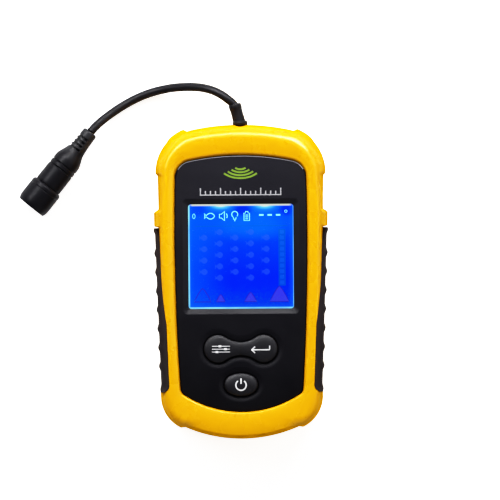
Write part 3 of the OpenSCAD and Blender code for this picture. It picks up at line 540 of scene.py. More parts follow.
# The crease along the lower end: where it is, its insets, drop and fall, and its share of the roll
CREASE_X, CREASE_Y = (18.5, 22.2), (-45, -50)
CREASE_IN, CREASE_CREST, CREASE_DROP, CREASE_FALL, CREASE_SHARE = 1.75, 6.4, 0.5, 2.4, 0.5
# Share of the front roll that is plain wall
WALL_SHARE = 0.2
# The rim's inner edge: its radius at the lower end and above it, and its foot in the well
RIM_TURN, RIM_TURN_Y, RIM_FOOT_Z = (0.8, 1.7), (-46, -20), 27.8
# Width of rim over which it takes its whole fall
RIM_FULL_FALL = 6
# Heights of the rings in the plain wall of the rear shell
WALL_RINGS_Z = (9, 12, 14.5)


class Skin:
    """The case's outer surface: a wall that rolls over to a crest, then dips to the panel."""

    def __init__(self):
        self.case = case = sizes("case")
        outline, panel = case_outline(), panel_outline()
        self.edge = [Vector(point) for point in outline.points()]
        self.out = [point - Vector(inner) for point, inner in zip(self.edge, outline.points(1))]
        self.well = [Vector(point) for point in panel.points(-WELL_GAP)]
        self.ledge = [Vector(point) for point in panel.points(LEDGE)]
        self.pad = [pad_rise(*point) for point in self.edge]
        self.crease = [(1 - ease(abs(point.x), *CREASE_X)) * ease(point.y, *CREASE_Y)
                       for point in self.edge]
        widths = [(point - inner).dot(out)
                  for point, inner, out in zip(self.edge, self.well, self.out)]
        # A full round at the upper end, and a tighter one along the sides and the lower end
        shares = [ease(point.y, *FULL_ROUND_Y) for point in self.edge]
        self.crest = [mix(case.side_crest, max(LEAST_CREST, min(case.crest, CREST_SHARE * width)),
                          share) for width, share in zip(widths, shares)]
        self.crown = [mix(case.side_crown, case.crown, share) for share in shares]
        # Softer at the lower corners
        for i, point in enumerate(self.edge):
            corner = ease(point.y, *SOFT_Y) * ease(abs(point.x), *SOFT_X)
            self.crest[i] += SOFT_CREST * corner
            self.crown[i] += SOFT_CROWN * corner
        # Walls of the room inside, kept clear of the grips' pockets
        grips = sizes("grips")
        top = outline.side_x(grips.top_y) - grips.in_top - case.side_wall
        foot = outline.side_x(grips.foot_y) - grips.in_foot - case.side_wall
        self.room = []
        for x, y in outline.points(case.end_wall):
            most = mix(foot, top, (y - grips.foot_y) / (grips.top_y - grips.foot_y))
            self.room.append(Vector((math.copysign(min(abs(x), most), x), y)))

    def roll(self, i, share):
        """Inset and height of the front roll at point i, from the split (share 0) to the crest (1)."""
        case, crown, crease = self.case, self.crown[i], self.crease[i]
        if share <= WALL_SHARE:
            inset = case.draft * share / WALL_SHARE
            z = mix(case.split, case.thick - crown, share / WALL_SHARE)
        else:
            angle = math.pi / 2 * (share - WALL_SHARE) / (1 - WALL_SHARE)
            inset = case.draft + (self.crest[i] - case.draft) * (1 - math.cos(angle))
            z = case.thick - crown * (1 - math.sin(angle))
        if crease:
            if share <= CREASE_SHARE:
                up = share / CREASE_SHARE
                sharp_inset = CREASE_IN * up
                sharp_z = mix(case.split, case.thick - CREASE_DROP, up)
            else:
                beyond = (share - CREASE_SHARE) / (1 - CREASE_SHARE)
                sharp_inset = mix(CREASE_IN, CREASE_CREST, beyond)
                sharp_z = case.thick - CREASE_DROP * (1 - beyond) ** CREASE_FALL
            inset, z = mix(inset, sharp_inset, crease), mix(z, sharp_z, crease)
        return inset, z

    def ring(self, shape):
        """A ring from a function of the point's number that gives its inset and height."""
        points = []
        for i, (edge, out) in enumerate(zip(self.edge, self.out)):
            inset, z = shape(i)
            point = edge + out * (self.pad[i] * pad_share(edge.y, z) - inset)
            points.append((point.x, point.y, z))
        return points

    def front_rings(self, steps=28):
        """Rings from the split up to the crest."""
        groove = self.case.groove
        rings = [self.ring(lambda i: (self.roll(i, 0)[0] + groove, self.case.split)),
                 self.ring(lambda i: (self.roll(i, 0)[0], self.case.split + groove))]
        return rings + [self.ring(lambda i, share=k / steps: self.roll(i, share))
                        for k in range(2, steps + 1)]

    def rim_rings(self, steps=8, round_steps=7):
        """Rings from the crest down to the panel's edge."""
        crest = self.front_rings(2)[-1]
        rings = []
        for k in range(1, steps + round_steps + 1):
            ring = []
            for (x, y, z), well in zip(crest, self.well):
                top = Vector((x, y))
                run = (well - top).length
                turn = min(mix(*RIM_TURN, ease(y, *RIM_TURN_Y)), 0.5 * run)
                drop = self.case.rim_fall * min(1, run / RIM_FULL_FALL)
                if k <= steps:
                    share = k / steps
                    point = top + (well - top) * share * (1 - turn / run)
                    height = z - drop * share * share
                else:
                    angle = math.pi / 2 * (k - steps) / round_steps
                    point = well + (top - well) * turn * (1 - math.sin(angle)) / run
                    height = RIM_FOOT_Z + (z - drop - RIM_FOOT_Z) * math.cos(angle)
                ring.append((point.x, point.y, height))
            rings.append(ring)
        return rings

    def back_rings(self, steps=9):
        """Rings from the back up to the split."""
        case = self.case
        rings = []
        for k in range(steps + 1):
            angle = math.pi / 2 * k / steps
            inset, z = case.back_roll * (1 - math.sin(angle)), case.back_rise * (1 - math.cos(angle))
            rings.append(self.ring(lambda i, place=(inset, z): place))
        for z in (*WALL_RINGS_Z, case.split - case.groove):
            rings.append(self.ring(lambda i, place=(0.0, z): place))
        rings.append(self.ring(lambda i: (case.groove, case.split)))
        return rings


# A grip's upper edge: how steeply it sweeps, its rounded end's length and drop, and its least height
GRIP_SWEEP, GRIP_NOSE, GRIP_NOSE_DROP, GRIP_LEAST = 4.4, 3.4, 7, 3
# Distances of a grip's first stations from its end, the run that they take up, and steps between
GRIP_END_STATIONS = [0.0, 0.12, 0.3, 0.55, 0.85, 1.2, 1.6, 2.1, 2.7, 3.4]
GRIP_END_RUN, GRIP_STEPS = 3.7, 150
# Gap round a grip in its pocket, and a place beyond the case's side
POCKET_GAP, BEYOND_SIDE = 0.15, 50


def grip_top(y, clear=0.0):
    """Height of a grip's upper edge."""
    grips = sizes("grips")
    share = max(0, (y - grips.foot_y) / (grips.top_y - grips.foot_y))
    z = grips.high_foot - (grips.high_foot - grips.high_top) * share ** GRIP_SWEEP + clear
    gap = grips.top_y + clear - y
    if gap < GRIP_NOSE:
        z -= GRIP_NOSE_DROP * (1 - math.sqrt(max(0, 1 - ((GRIP_NOSE - gap) / GRIP_NOSE) ** 2)))
    return max(z, grips.low + GRIP_LEAST)


def grip_depth(y):
    """Depth of a grip in the shells, which leaves a round corner in plan at its lower end."""
    grips = sizes("grips")
    depth = mix(grips.in_foot, grips.in_top, (y - grips.foot_y) / (grips.top_y - grips.foot_y))
    away = max(0, 1 - max(0, y - grips.foot_y) / grips.foot_run)
    return (depth + grips.out_foot) * math.sqrt(1 - away ** 2) - grips.out_foot


def grip_stations(clear=0.0):
    """Places along a grip, closer together at its ends."""
    grips = sizes("grips")
    low, high = grips.foot_y - clear, grips.top_y + clear
    span = [mix(low + GRIP_END_RUN, high - GRIP_END_RUN, k / GRIP_STEPS)
            for k in range(GRIP_STEPS + 1)]
    return ([low + gap for gap in GRIP_END_STATIONS] + span
            + [high - gap for gap in reversed(GRIP_END_STATIONS)])


def grip_pocket(side):
    """Cutter for the pocket that a grip sits in."""
    grips, outline = sizes("grips"), case_outline()
    low = grips.low - POCKET_GAP
    rings = []
    for y in grip_stations(POCKET_GAP):
        x = outline.side_x(y) - grip_depth(y + POCKET_GAP) - POCKET_GAP
        z = grip_top(y, POCKET_GAP)
        section = ((x, low), (BEYOND_SIDE, low), (BEYOND_SIDE, z), (x, z))
        rings.append([(side * across, y, height) for across, height in section])
    return loft("pocket", rings)


# Half widths and heights of the hole for the gland, with their places along the case
GLAND_HOLE = [(2.55, 2.55, 40), (2.55, 2.55, 61.2), (3.05, 4.3, 61.2), (3.05, 4.3, 90)]


def oval(wide, high, y, count=48):
    """Ring of an ellipse that stands across the case at the split's height."""
    z = sizes("case").split
    return [(wide * math.cos(angle), y, z + high * math.sin(angle)) for angle in turns(count)]


def gland_hole():
    """Cutter for the gland's neck and the seat of its oval flange."""
    return loft("gland_hole", [oval(wide, high, y) for wide, high, y in GLAND_HOLE])


# Finishes


def feed(tree, socket, value):
    """Links a socket to another node's output, or sets it to a plain value."""
    if isinstance(value, bpy.types.NodeSocket):
        tree.links.new(value, socket)
    else:
        socket.default_value = value


def add(tree, kind, **values):
    """A node whose sockets are linked or set by name, with the rest set on the node itself."""
    node = tree.nodes.new("ShaderNode" + kind)
    for key, value in values.items():
        socket = node.inputs.get(key.replace("_", " "))
        if socket is None:
            setattr(node, key, value)
        else:
            feed(tree, socket, value)
    return node


def maths(tree, operation, *values):
    node = tree.nodes.new("ShaderNodeMath")
    node.operation = operation
    for socket, value in zip(node.inputs, values):
        feed(tree, socket, value)
    return node.outputs[0]


def times(tree, first, second):
    return maths(tree, "MULTIPLY", first, second)


def plus(tree, first, second):
    return maths(tree, "ADD", first, second)


def minus(tree, first, second):
    return maths(tree, "SUBTRACT", first, second)


def over(tree, first, second):
    return maths(tree, "DIVIDE", first, second)


def blended(tree, share, first, second):
    """A mix of two colours."""
    node = tree.nodes.new("ShaderNodeMix")
    node.data_type = "RGBA"
    # A mix node has its share first, and its two colours after its numbers and vectors
    for index, value in ((0, share), (6, first), (7, second)):
        feed(tree, node.inputs[index], value)
    return node.outputs[2]


def ranged(tree, value, low, high, to_low=0.0, to_high=1.0, smooth=True):
    """A value moved from one range into another and kept inside it."""
    node = add(tree, "MapRange", interpolation_type="SMOOTHSTEP" if smooth else "LINEAR")
    for index, item in enumerate((value, low, high, to_low, to_high)):
        feed(tree, node.inputs[index], item)
    return node.outputs[0]


def group(name, inputs, outputs):
    """An empty node group with the named sockets, and its input and output nodes."""
    tree = bpy.data.node_groups.new(name, "ShaderNodeTree")
    for socket, (kind, value) in inputs.items():
        made = tree.interface.new_socket(socket, in_out="INPUT", socket_type="NodeSocket" + kind)
        made.default_value = value
    for socket, kind in outputs.items():
        tree.interface.new_socket(socket, in_out="OUTPUT", socket_type="NodeSocket" + kind)
    return tree, tree.nodes.new("NodeGroupInput").outputs, tree.nodes.new("NodeGroupOutput").inputs


def object_place(tree):
    return add(tree, "TexCoord").outputs["Object"]


def object_y(tree):
    return add(tree, "SeparateXYZ", Vector=object_place(tree)).outputs["Y"]


def cloud(tree, place, scale, detail, **values):
    """Soft noise between 0 and 1."""
    return add(tree, "TexNoise", Vector=place, Scale=scale, Detail=detail, **values).outputs["Fac"]


def moulded_grain():
    """Height of the fine texture that a spark-eroded mould leaves."""
    tree, given, gives = group("moulded_grain", {"Scale": ("Float", 3000.0)}, {"Height": "Float"})
    place = object_place(tree)
    cells = add(tree, "TexVoronoi", feature="SMOOTH_F1", Vector=place, Scale=given["Scale"])
    noise = cloud(tree, place, given["Scale"], 2.0, Roughness=0.6)
    tree.links.new(plus(tree, times(tree, cells.outputs["Distance"], 0.6), noise), gives["Height"])
    return tree


def handling():
    """Patches rubbed smoother by hands, as a value between two limits."""
    tree, given, gives = group("handling", {"Scale": ("Float", 60.0), "Low": ("Float", 0.3),
                                            "High": ("Float", 0.5)}, {"Value": "Float"})
    noise = cloud(tree, object_place(tree), given["Scale"], 5.0, Roughness=0.6)
    tree.links.new(ranged(tree, noise, 0.32, 0.68, given["Low"], given["High"]), gives["Value"])
    return tree


def tone_drift():
    """A colour that drifts a little lighter and darker over the surface."""
    tree, given, gives = group("tone_drift", {"Color": ("Color", (1, 1, 1, 1)),
                                              "Scale": ("Float", 40.0),
                                              "Amount": ("Float", 0.1)}, {"Color": "Color"})
    noise = cloud(tree, object_place(tree), given["Scale"], 4.0)
    change = times(tree, minus(tree, noise, 0.5), given["Amount"])
    shade = add(tree, "HueSaturation", Color=given["Color"], Value=plus(tree, change, 1.0))
    tree.links.new(shade.outputs["Color"], gives["Color"])
    return tree


def edge_wear():
    """Mask of the raised edges that wear first, broken up into patches."""
    tree, given, gives = group("edge_wear", {"Start": ("Float", 0.52), "End": ("Float", 0.6),
                                             "Scale": ("Float", 400.0)}, {"Mask": "Float"})
    raised = add(tree, "NewGeometry").outputs["Pointiness"]
    noise = cloud(tree, object_place(tree), given["Scale"], 4.0)
    tree.links.new(times(tree, ranged(tree, raised, given["Start"], given["End"]),
                         ranged(tree, noise, 0.45, 0.6)), gives["Mask"])
    return tree


def dust():
    """Mask of scattered pale specks."""
    tree, given, gives = group("dust", {"Scale": ("Float", 160.0), "Size": ("Float", 0.05)},
                               {"Mask": "Float"})
    specks = add(tree, "TexVoronoi", Vector=object_place(tree), Scale=given["Scale"])
    pick_some = add(tree, "SeparateColor", Color=specks.outputs["Color"]).outputs[0]
    few = maths(tree, "GREATER_THAN", pick_some, 0.72)
    size = times(tree, given["Size"], pick_some)
    near = ranged(tree, specks.outputs["Distance"], size, 0.0)
    tree.links.new(times(tree, few, near), gives["Mask"])
    return tree


# Tones of the display's field
FIELD_UPPER, FIELD_PALE, FIELD_DARK = (0, 0.11, 0.914, 1), (0.0057, 0.184, 1, 1), (0, 0.0357, 0.775, 1)
FIELD_FOOT, FIELD_FLECK = (0.0094, 0.0807, 0.604, 1), (0.005, 0.17, 0.5, 1)
FIELD_LEAK, FIELD_RIM = (0.0166, 0.177, 1, 1), (0.553, 0.587, 0.507, 1)
# Middles of the two lamps behind the upper edge, and their pools of light from the widest in:
# half width, depth, range of the pool that shows, share and tone
LAMPS_X = (-8.0, 9.6)
LAMP_POOLS = [(8.2, 4.4, 0.0, 0.9, 0.8, (0.0493, 0.345, 1, 1)),
              (5.6, 2.6, 0.05, 0.8, 0.95, (0.218, 0.707, 0.81, 1)),
              (3.8, 1.5, 0.1, 0.8, 1.0, (1, 0.852, 0.522, 1))]
# Middles of the darker patches under the upper edge
DARK_X = (-17.5, 0.6, 19.0)


def backlight():
    """The display's lit field: a deep blue, brighter at its edges and below its two lamps."""
    front, shades = sizes("front"), settings("colours")
    tree, given, gives = group("backlight", {"Screen": ("Color", (*shades.screen, 1)),
                                             "Glow": ("Color", (*shades.glow, 1))},
                               {"Color": "Color"})
    place = object_place(tree)
    axes = add(tree, "SeparateXYZ", Vector=place).outputs
    x = over(tree, axes["X"], MM)
    y = minus(tree, over(tree, axes["Y"], MM), front.window_y)
    half_w, half_h = front.window_w / 2, front.window_h / 2
    to_side = minus(tree, half_w, maths(tree, "ABSOLUTE", x))
    to_foot = plus(tree, y, half_h)
    to_top = minus(tree, half_h, y)
    noise = cloud(tree, place, 70.0, 2.0)

    def pool(middle, wide, top, deep):
        """A soft pool of light: 1 at its middle, 0 at its edge."""
        away = over(tree, minus(tree, x, middle), wide)
        down = over(tree, minus(tree, to_top, top), deep)
        far = maths(tree, "SQRT", plus(tree, times(tree, away, away), times(tree, down, down)))
        return maths(tree, "MAXIMUM", minus(tree, 1.0, far), 0.0)

    # Deep blue, lighter in the upper half
    field = blended(tree, ranged(tree, y, -12.0, 20.0), given["Screen"], FIELD_UPPER)
    broad = times(tree, ranged(tree, pool(4.0, 23.0, 7.5, 9.0), 0.0, 0.8),
                  ranged(tree, noise, 0.2, 0.7, 0.6, 1.0))
    field = blended(tree, times(tree, broad, 0.8), field, FIELD_PALE)
    for middle in DARK_X:
        patch_share = ranged(tree, pool(middle, 5.0, 2.2, 3.4), 0.0, 0.7, 0.0, 0.75)
        field = blended(tree, patch_share, field, FIELD_DARK)
    field = blended(tree, ranged(tree, y, -12.0, -half_h, 0.0, 0.55), field, FIELD_FOOT)
    # Paler to the left, and mottled over the sea bed
    field = blended(tree, ranged(tree, x, -3.0, -half_w, 0.0, 0.4), field, FIELD_PALE)
    fine = cloud(tree, place, 1500.0, 2.0)
    mottle = times(tree, ranged(tree, fine, 0.46, 0.66), ranged(tree, y, -9.0, -17.0))
    field = blended(tree, times(tree, mottle, 0.34), field, FIELD_FLECK)
    # Light that leaks in along the edges, most of all on the left
    uneven = ranged(tree, noise, 0.3, 0.6, 0.55, 1.0)
    for gap, wide, share in ((plus(tree, x, half_w), 0.8, 1.0),
                             (minus(tree, half_w, x), 0.45, 0.7), (to_foot, 0.85, 0.95)):
        field = blended(tree, ranged(tree, gap, 2.6, 0.2, 0.0, 0.4), field, FIELD_LEAK)
        rim = times(tree, ranged(tree, gap, wide, wide * 0.45), share)
        field = blended(tree, times(tree, rim, uneven), field, given["Glow"])
    for middle in LAMPS_X:
        for wide, deep, start, full, share, tone in LAMP_POOLS:
            spot = ranged(tree, pool(middle, wide, 0.0, deep), start, full, 0.0, share)
            field = blended(tree, spot, field, tone)
    edge = times(tree, ranged(tree, to_top, 0.95, 0.45), ranged(tree, to_side, 0.0, 2.0))
    tree.links.new(blended(tree, edge, field, FIELD_RIM), gives["Color"])
    return tree


EFFECTS = {"moulded_grain": moulded_grain, "handling": handling, "tone_drift": tone_drift,
           "edge_wear": edge_wear, "dust": dust, "backlight": backlight}


def effect(tree, name, **values):
    """Places one of the shared effects in a material and gives its outputs."""
    made = bpy.data.node_groups.get(name) or EFFECTS[name]()
    return add(tree, "Group", node_tree=made, **values).outputs


def drifted(tree, colour, scale, amount):
    return effect(tree, "tone_drift", Color=colour, Scale=scale, Amount=amount)["Color"]


def rub(tree, shader, scale, low, high):
    """Gives a shader a roughness that varies between two limits in rubbed patches."""
    tree.links.new(effect(tree, "handling", Scale=scale, Low=low, High=high)["Value"],
                   shader["Roughness"])


def blank(name, **constants):
    """A new material with its shader's plain values set."""
    made = bpy.data.materials.new(name)
    made.use_nodes = True
    shader = made.node_tree.nodes["Principled BSDF"]
    for key, value in constants.items():
        shader.inputs[key.replace("_", " ")].default_value = value
    return made, made.node_tree, shader.inputs


SPECK_TONE = (0.5, 0.5, 0.5, 1)


def moulded(name, shade, rough, grain=2600.0, depth=0.02, drift=0.12, wear=None, specks=None,
            above=None, satin=None, **constants):
    """A moulded plastic or rubber: drifting tone, rubbed patches, grain, worn edges and dust."""
    made, tree, shader = blank(name, **constants)
    colour = (*shade, 1)
    if above:
        # Painted sheen: a paler shade towards the upper end, where the lights above catch the surface
        painted_sheen_tone, low, high = above
        share = ranged(tree, object_y(tree), low * MM, high * MM, smooth=False)
        colour = blended(tree, share, colour, (*painted_sheen_tone, 1))
    tone = drifted(tree, colour, 45.0, drift)
    if satin:
        # Reflections that fade where the surface is seen edge-on
        edge_on = add(tree, "LayerWeight", Blend=0.5).outputs["Facing"]
        tree.links.new(ranged(tree, edge_on, 0.2, 0.65, satin, 0.0), shader["Specular IOR Level"])
    if wear:
        worn, most = wear
        mask = effect(tree, "edge_wear", Start=0.51, End=0.62, Scale=700.0)["Mask"]
        tone = blended(tree, times(tree, mask, most), tone, (*worn, 1))
    if specks:
        scale, size, most = specks
        mask = effect(tree, "dust", Scale=scale, Size=size)["Mask"]
        tone = blended(tree, times(tree, mask, most), tone, SPECK_TONE)
    tree.links.new(tone, shader["Base Color"])
    rub(tree, shader, 70.0, *rough)
    bump = add(tree, "Bump", Height=effect(tree, "moulded_grain", Scale=grain)["Height"],
               Strength=1.0, Distance=depth * MM)
    tree.links.new(bump.outputs["Normal"], shader["Normal"])
    return made


def plated(name, shade, rough):
    """A plated metal with faint smears."""
    made, tree, shader = blank(name, Metallic=1.0)
    tree.links.new(drifted(tree, (*shade, 1), 300.0, 0.25), shader["Base Color"])
    rub(tree, shader, 500.0, *rough)
    return made


def clear_plastic(name, tint, rough=0.03):
    made, tree, shader = blank(name, Transmission_Weight=1.0, IOR=1.18,
                               Specular_IOR_Level=0.4, Base_Color=(*tint, 1))
    rub(tree, shader, 120.0, rough * 0.4, rough)
    return made


def lit(name, tone=None, share=0.0):
    """The display's lit field, or a mark on it that shares the field's light."""
    made, tree, shader = blank(name, Base_Color=(0.0005, 0.001, 0.006, 1), Roughness=0.4,
                               Specular_IOR_Level=0.06, Emission_Strength=1.0)
    field = effect(tree, "backlight")["Color"]
    if tone:
        field = blended(tree, share, field, (*tone, 1))
    tree.links.new(field, shader["Emission Color"])
    return made


def ink_and_painted_highlight(name, shade):
    """Pad-printed ink with a slightly uneven tone, also used for the painted highlight along the panel's
    upper edge.
    """
    made, tree, shader = blank(name, Specular_IOR_Level=0.3)
    tree.links.new(drifted(tree, (*shade, 1), 900.0, 0.18), shader["Base Color"])
    rub(tree, shader, 400.0, 0.4, 0.6)
    return made


def wound_jacket(name, shade):
    """A wrapped sleeve round a cell or a capacitor, with a pale band."""
    made, tree, shader = blank(name, Specular_IOR_Level=0.5)
    wave = maths(tree, "SINE", times(tree, object_y(tree), 140.0))
    band = maths(tree, "GREATER_THAN", wave, 0.55)
    tone = drifted(tree, (*shade, 1), 200.0, 0.15)
    tree.links.new(blended(tree, band, tone, (0.55, 0.45, 0.2, 1)), shader["Base Color"])
    rub(tree, shader, 200.0, 0.25, 0.4)
    return made


def board_mask(name):
    """Green solder mask over faint copper runs."""
    made, tree, shader = blank(name, Specular_IOR_Level=0.5)
    runs = add(tree, "TexVoronoi", feature="DISTANCE_TO_EDGE", Vector=object_place(tree), Scale=320.0)
    line = ranged(tree, runs.outputs["Distance"], 0.05, 0.08)
    tree.links.new(blended(tree, line, (0.03, 0.2, 0.07, 1), (0.012, 0.11, 0.04, 1)),
                   shader["Base Color"])
    rub(tree, shader, 150.0, 0.3, 0.45)
    return made


# Where the painted highlight on the connector's tail begins and where it is full, along the case from
# its end
TAIL_HIGHLIGHT = (-8.5, -6.5)


def finishes():
    """What makes each finish: a function of its name."""
    shade = settings("colours")
    tail = [cord_points()[-1].y + run for run in TAIL_HIGHLIGHT]
    socket = {"shade": shade.socket, "rough": (0.36, 0.46), "grain": 3200.0, "depth": 0.02,
              "drift": 0.25, "wear": ((0.03, 0.03, 0.035), 0.35), "Specular_IOR_Level": 0.36}
    return {
        "case": lambda name: moulded(
            name, shade.case, (0.265, 0.285), grain=2300.0, depth=0.006, drift=0.035,
            specks=(190.0, 0.03, 0.15), satin=0.8, Specular_Tint=(1.0, 0.93, 0.6, 1)),
        # The panel is shaded paler towards its upper end as painted sheen
        "panel": lambda name: moulded(
            name, shade.panel, (0.38, 0.48), grain=1700.0, depth=0.02, drift=0.3,
            above=(shade.panel_top, -55, 52), specks=(150.0, 0.04, 0.06), Specular_IOR_Level=0.3),
        "rubber": lambda name: moulded(
            name, shade.rubber, (0.6, 0.78), grain=3000.0, depth=0.03, drift=0.3,
            wear=((0.05, 0.045, 0.045), 0.4), Specular_IOR_Level=0.35),
        "keys": lambda name: moulded(
            name, shade.keys, (0.48, 0.6), grain=4200.0, depth=0.015, drift=0.2,
            wear=((0.06, 0.06, 0.06), 0.3), Specular_IOR_Level=0.65),
        "jacket": lambda name: moulded(
            name, shade.jacket, (0.42, 0.56), grain=2400.0, depth=0.01, drift=0.2,
            Specular_IOR_Level=0.45),
        "socket": lambda name: moulded(name, **socket),
        # The plug's tail is painted paler as a highlight on its ridges
        "plug": lambda name: moulded(name, above=(shade.tail, *tail), **socket),
        # The panel's upper edge is painted light grey as a highlight
        "cut_edge": lambda name: ink_and_painted_highlight(name, shade.cut_edge),
        "legend": lambda name: ink_and_painted_highlight(name, shade.legend),
        "green_print": lambda name: ink_and_painted_highlight(name, shade.print_green),
        "grey_print": lambda name: ink_and_painted_highlight(name, shade.print_grey),
        "screen": lit,
        "symbols": lambda name: lit(name, (0.364, 1.0, 1.0), 0.88),
        "ghosts": lambda name: lit(name, (0.0693, 0.162, 0.81), 0.38),
        "scale_bar": lambda name: lit(name, (0.0, 0.147, 0.397), 0.5),
        "scale_cells": lambda name: lit(name, (0.0166, 0.177, 0.553), 0.55),
        "mounds": lambda name: lit(name, (0.11, 0.0861, 0.642), 0.65),
        "mound_lines": lambda name: lit(name, (0.0631, 0.0357, 0.345), 0.75),
        "lens": lambda name: clear_plastic(name, (0.97, 0.98, 1.0)),
        "guide": lambda name: clear_plastic(name, (0.95, 0.97, 1.0), 0.2),
        "steel": lambda name: plated(name, (0.55, 0.55, 0.56), (0.25, 0.42)),
        "gold": lambda name: plated(name, (0.75, 0.5, 0.16), (0.2, 0.35)),
        "white": lambda name: moulded(name, (0.72, 0.72, 0.7), (0.4, 0.55), drift=0.08),
        "tray": lambda name: moulded(name, (0.02, 0.02, 0.022), (0.5, 0.65), drift=0.2),
        "chip": lambda name: moulded(name, (0.012, 0.012, 0.013), (0.5, 0.6), grain=5000.0),
        "ferrite": lambda name: moulded(name, (0.035, 0.034, 0.034), (0.5, 0.7), grain=3000.0,
                                        depth=0.04),
        "board": board_mask,
        "can": lambda name: wound_jacket(name, (0.015, 0.02, 0.08)),
        "cell": lambda name: wound_jacket(name, (0.03, 0.03, 0.033)),
        "red_wire": lambda name: moulded(name, (0.4, 0.015, 0.012), (0.35, 0.5), drift=0.1),
        "black_wire": lambda name: moulded(name, (0.012, 0.012, 0.012), (0.35, 0.5), drift=0.1),
        "seal": lambda name: moulded(name, (0.25, 0.03, 0.02), (0.5, 0.65), drift=0.15),
    }


def paint(obj, look):
    """Gives an object the named finish in place of what it had."""
    made = bpy.data.materials.get(look) or finishes()[look](look)
    obj.data.materials.clear()
    obj.data.materials.append(made)


def settle(obj, look, body, replaces=(), angle=30):
    """Shades a finished piece, gives it its finish and sets it on its body."""
    pick(obj)
    bpy.ops.object.shade_smooth_by_angle(angle=math.radians(angle))
    paint(obj, look)
    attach(obj, body)
    if replaces:
        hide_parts(*replaces)
    return obj


# Stage


# The camera's sensor and the height that the view's width is measured at, in millimetres
SENSOR, VIEW_Z = 36, 16
# The floor's size in metres, and its gap below the part in millimetres
FLOOR_SIZE, FLOOR_GAP = 6, 0.05
# Lights: place and size in metres, the setting that holds the power, and a share of it
LIGHTS = {"key_light": ((0, 0.6, 0.5), (1.0, 0.16), "key_power", 1.0),
          "left_light": ((-0.54, 0.42, 0.62), (0.5, 0.14), "side_power", 1.2),
          "right_light": ((0.7, 0.1, 0.68), (0.7, 0.7), "side_power", 0.85),
          "fill_light": ((0.05, -0.65, 0.4), (0.8, 0.4), "fill_power", 1.0),
          "lamp": ((0, 0.31, 0.3), (0.5, 0.35), "lamp_power", 1.0),
          "glint": ((0.29, 0.582, 0.42), (0.26, 0.5), "glint_power", 1.0)}
LIGHTS_AIM = Vector((0, 0.01, 0))
# Number of the curve for all channels, and the steps that it is drawn in
ALL_CHANNELS, CURVE_STEPS = 3, 20


def linear(tone):
    """Light of a display tone."""
    return tone / 12.92 if tone <= 0.04045 else ((tone + 0.055) / 1.055) ** 2.4


class FINDER_OT_stage(bpy.types.Operator):
    """Camera over the part, soft lights and a pale floor"""

    bl_idname = "finder.stage"
    bl_label = "Stage"

    def execute(self, context):
        stage, lengths = settings("stage"), sizes("stage")
        deselect()
        bpy.ops.object.camera_add(location=(stage.camera_x, stage.camera_y, stage.camera_z),
                                  rotation=(0, 0, stage.camera_roll))
        camera = context.active_object
        camera.name = "camera"
        camera.data.sensor_fit, camera.data.sensor_width = "HORIZONTAL", SENSOR
        camera.data.lens = SENSOR * (lengths.camera_z - VIEW_Z) / lengths.view
        camera.data.clip_start, camera.data.clip_end = 0.01, 20
        context.scene.camera = camera
        bpy.ops.mesh.primitive_plane_add(size=FLOOR_SIZE, location=(0, 0, -FLOOR_GAP * MM))
        floor = context.active_object
        floor.name = "floor"
        floor.data.materials.append(self.floor_paint(stage))
        for name, (place, size, setting, share) in LIGHTS.items():
            aim = LIGHTS_AIM - Vector(place)
            bpy.ops.object.light_add(type="AREA", location=place,
                                     rotation=aim.to_track_quat("-Z", "Y").to_euler())
            light = context.active_object
            light.name = name
            light.data.shape = "RECTANGLE"
            light.data.size, light.data.size_y = size
            light.data.energy = getattr(stage, setting) * share
            light.visible_diffuse = name != "glint"
        sky = bpy.data.worlds.new("even_sky")
        sky.use_nodes = True
        sky.node_tree.nodes["Background"].inputs["Color"].default_value = (1, 1, 1, 1)
        sky.node_tree.nodes["Background"].inputs["Strength"].default_value = stage.sky
        context.scene.world = sky
        view = context.scene.view_settings
        view.view_transform, view.look = "Standard", "None"
        # A photograph's contrast: deeper darks and brighter lights about the middle tone
        view.use_curve_mapping = True
        curve = view.curve_mapping.curves[ALL_CHANNELS]
        for tone in (k / CURVE_STEPS for k in range(1, CURVE_STEPS)):
            curve.points.new(linear(tone), linear(tone ** 2 * (3 - 2 * tone)))
        view.curve_mapping.update()
        return {"FINISHED"}

    def floor_paint(self, stage):
        """A pale floor that glows a little to the camera alone."""
        made, tree, shader = blank("floor_paint", Roughness=0.9, Specular_IOR_Level=0.1)
        seen = add(tree, "LightPath").outputs["Is Camera Ray"]
        shade = blended(tree, seen, (*stage.bounce, 1), (*stage.floor, 1))
        tree.links.new(drifted(tree, shade, 3.0, 0.01), shader["Base Color"])
        tree.links.new(times(tree, seen, stage.glow), shader["Emission Strength"])
        return made


# Lead


# The gland's bent sleeve as the lead leaves it: start, lean and turn, and where the lead begins in it
SLEEVE_START = Vector((0, 64.4, 17))
SLEEVE_TILT, SLEEVE_TURN, LEAD_START = math.radians(6), math.radians(35), 0.75
# Route of the lead from the end of the gland's sleeve, measured from there in plan
CORD_ROUTE = [(0, 0, 17), (-2.1, 1.8, 16.9), (-4.6, 3.6, 16.3), (-8, 5.3, 15), (-12, 6.4, 13),
              (-16, 6.85, 10.6), (-20, 6.9, 8.1), (-24, 6.65, 5.8), (-28, 6.05, 3.9),
              (-32, 5.1, 2.6), (-36, 3.75, 1.9), (-40, 1.95, 1.8), (-44, -0.25, 2.1),
              (-48, -2.85, 3), (-52, -5.85, 4.6), (-55, -8.5, 5.9), (-57.1, -10.8, 6.6)]
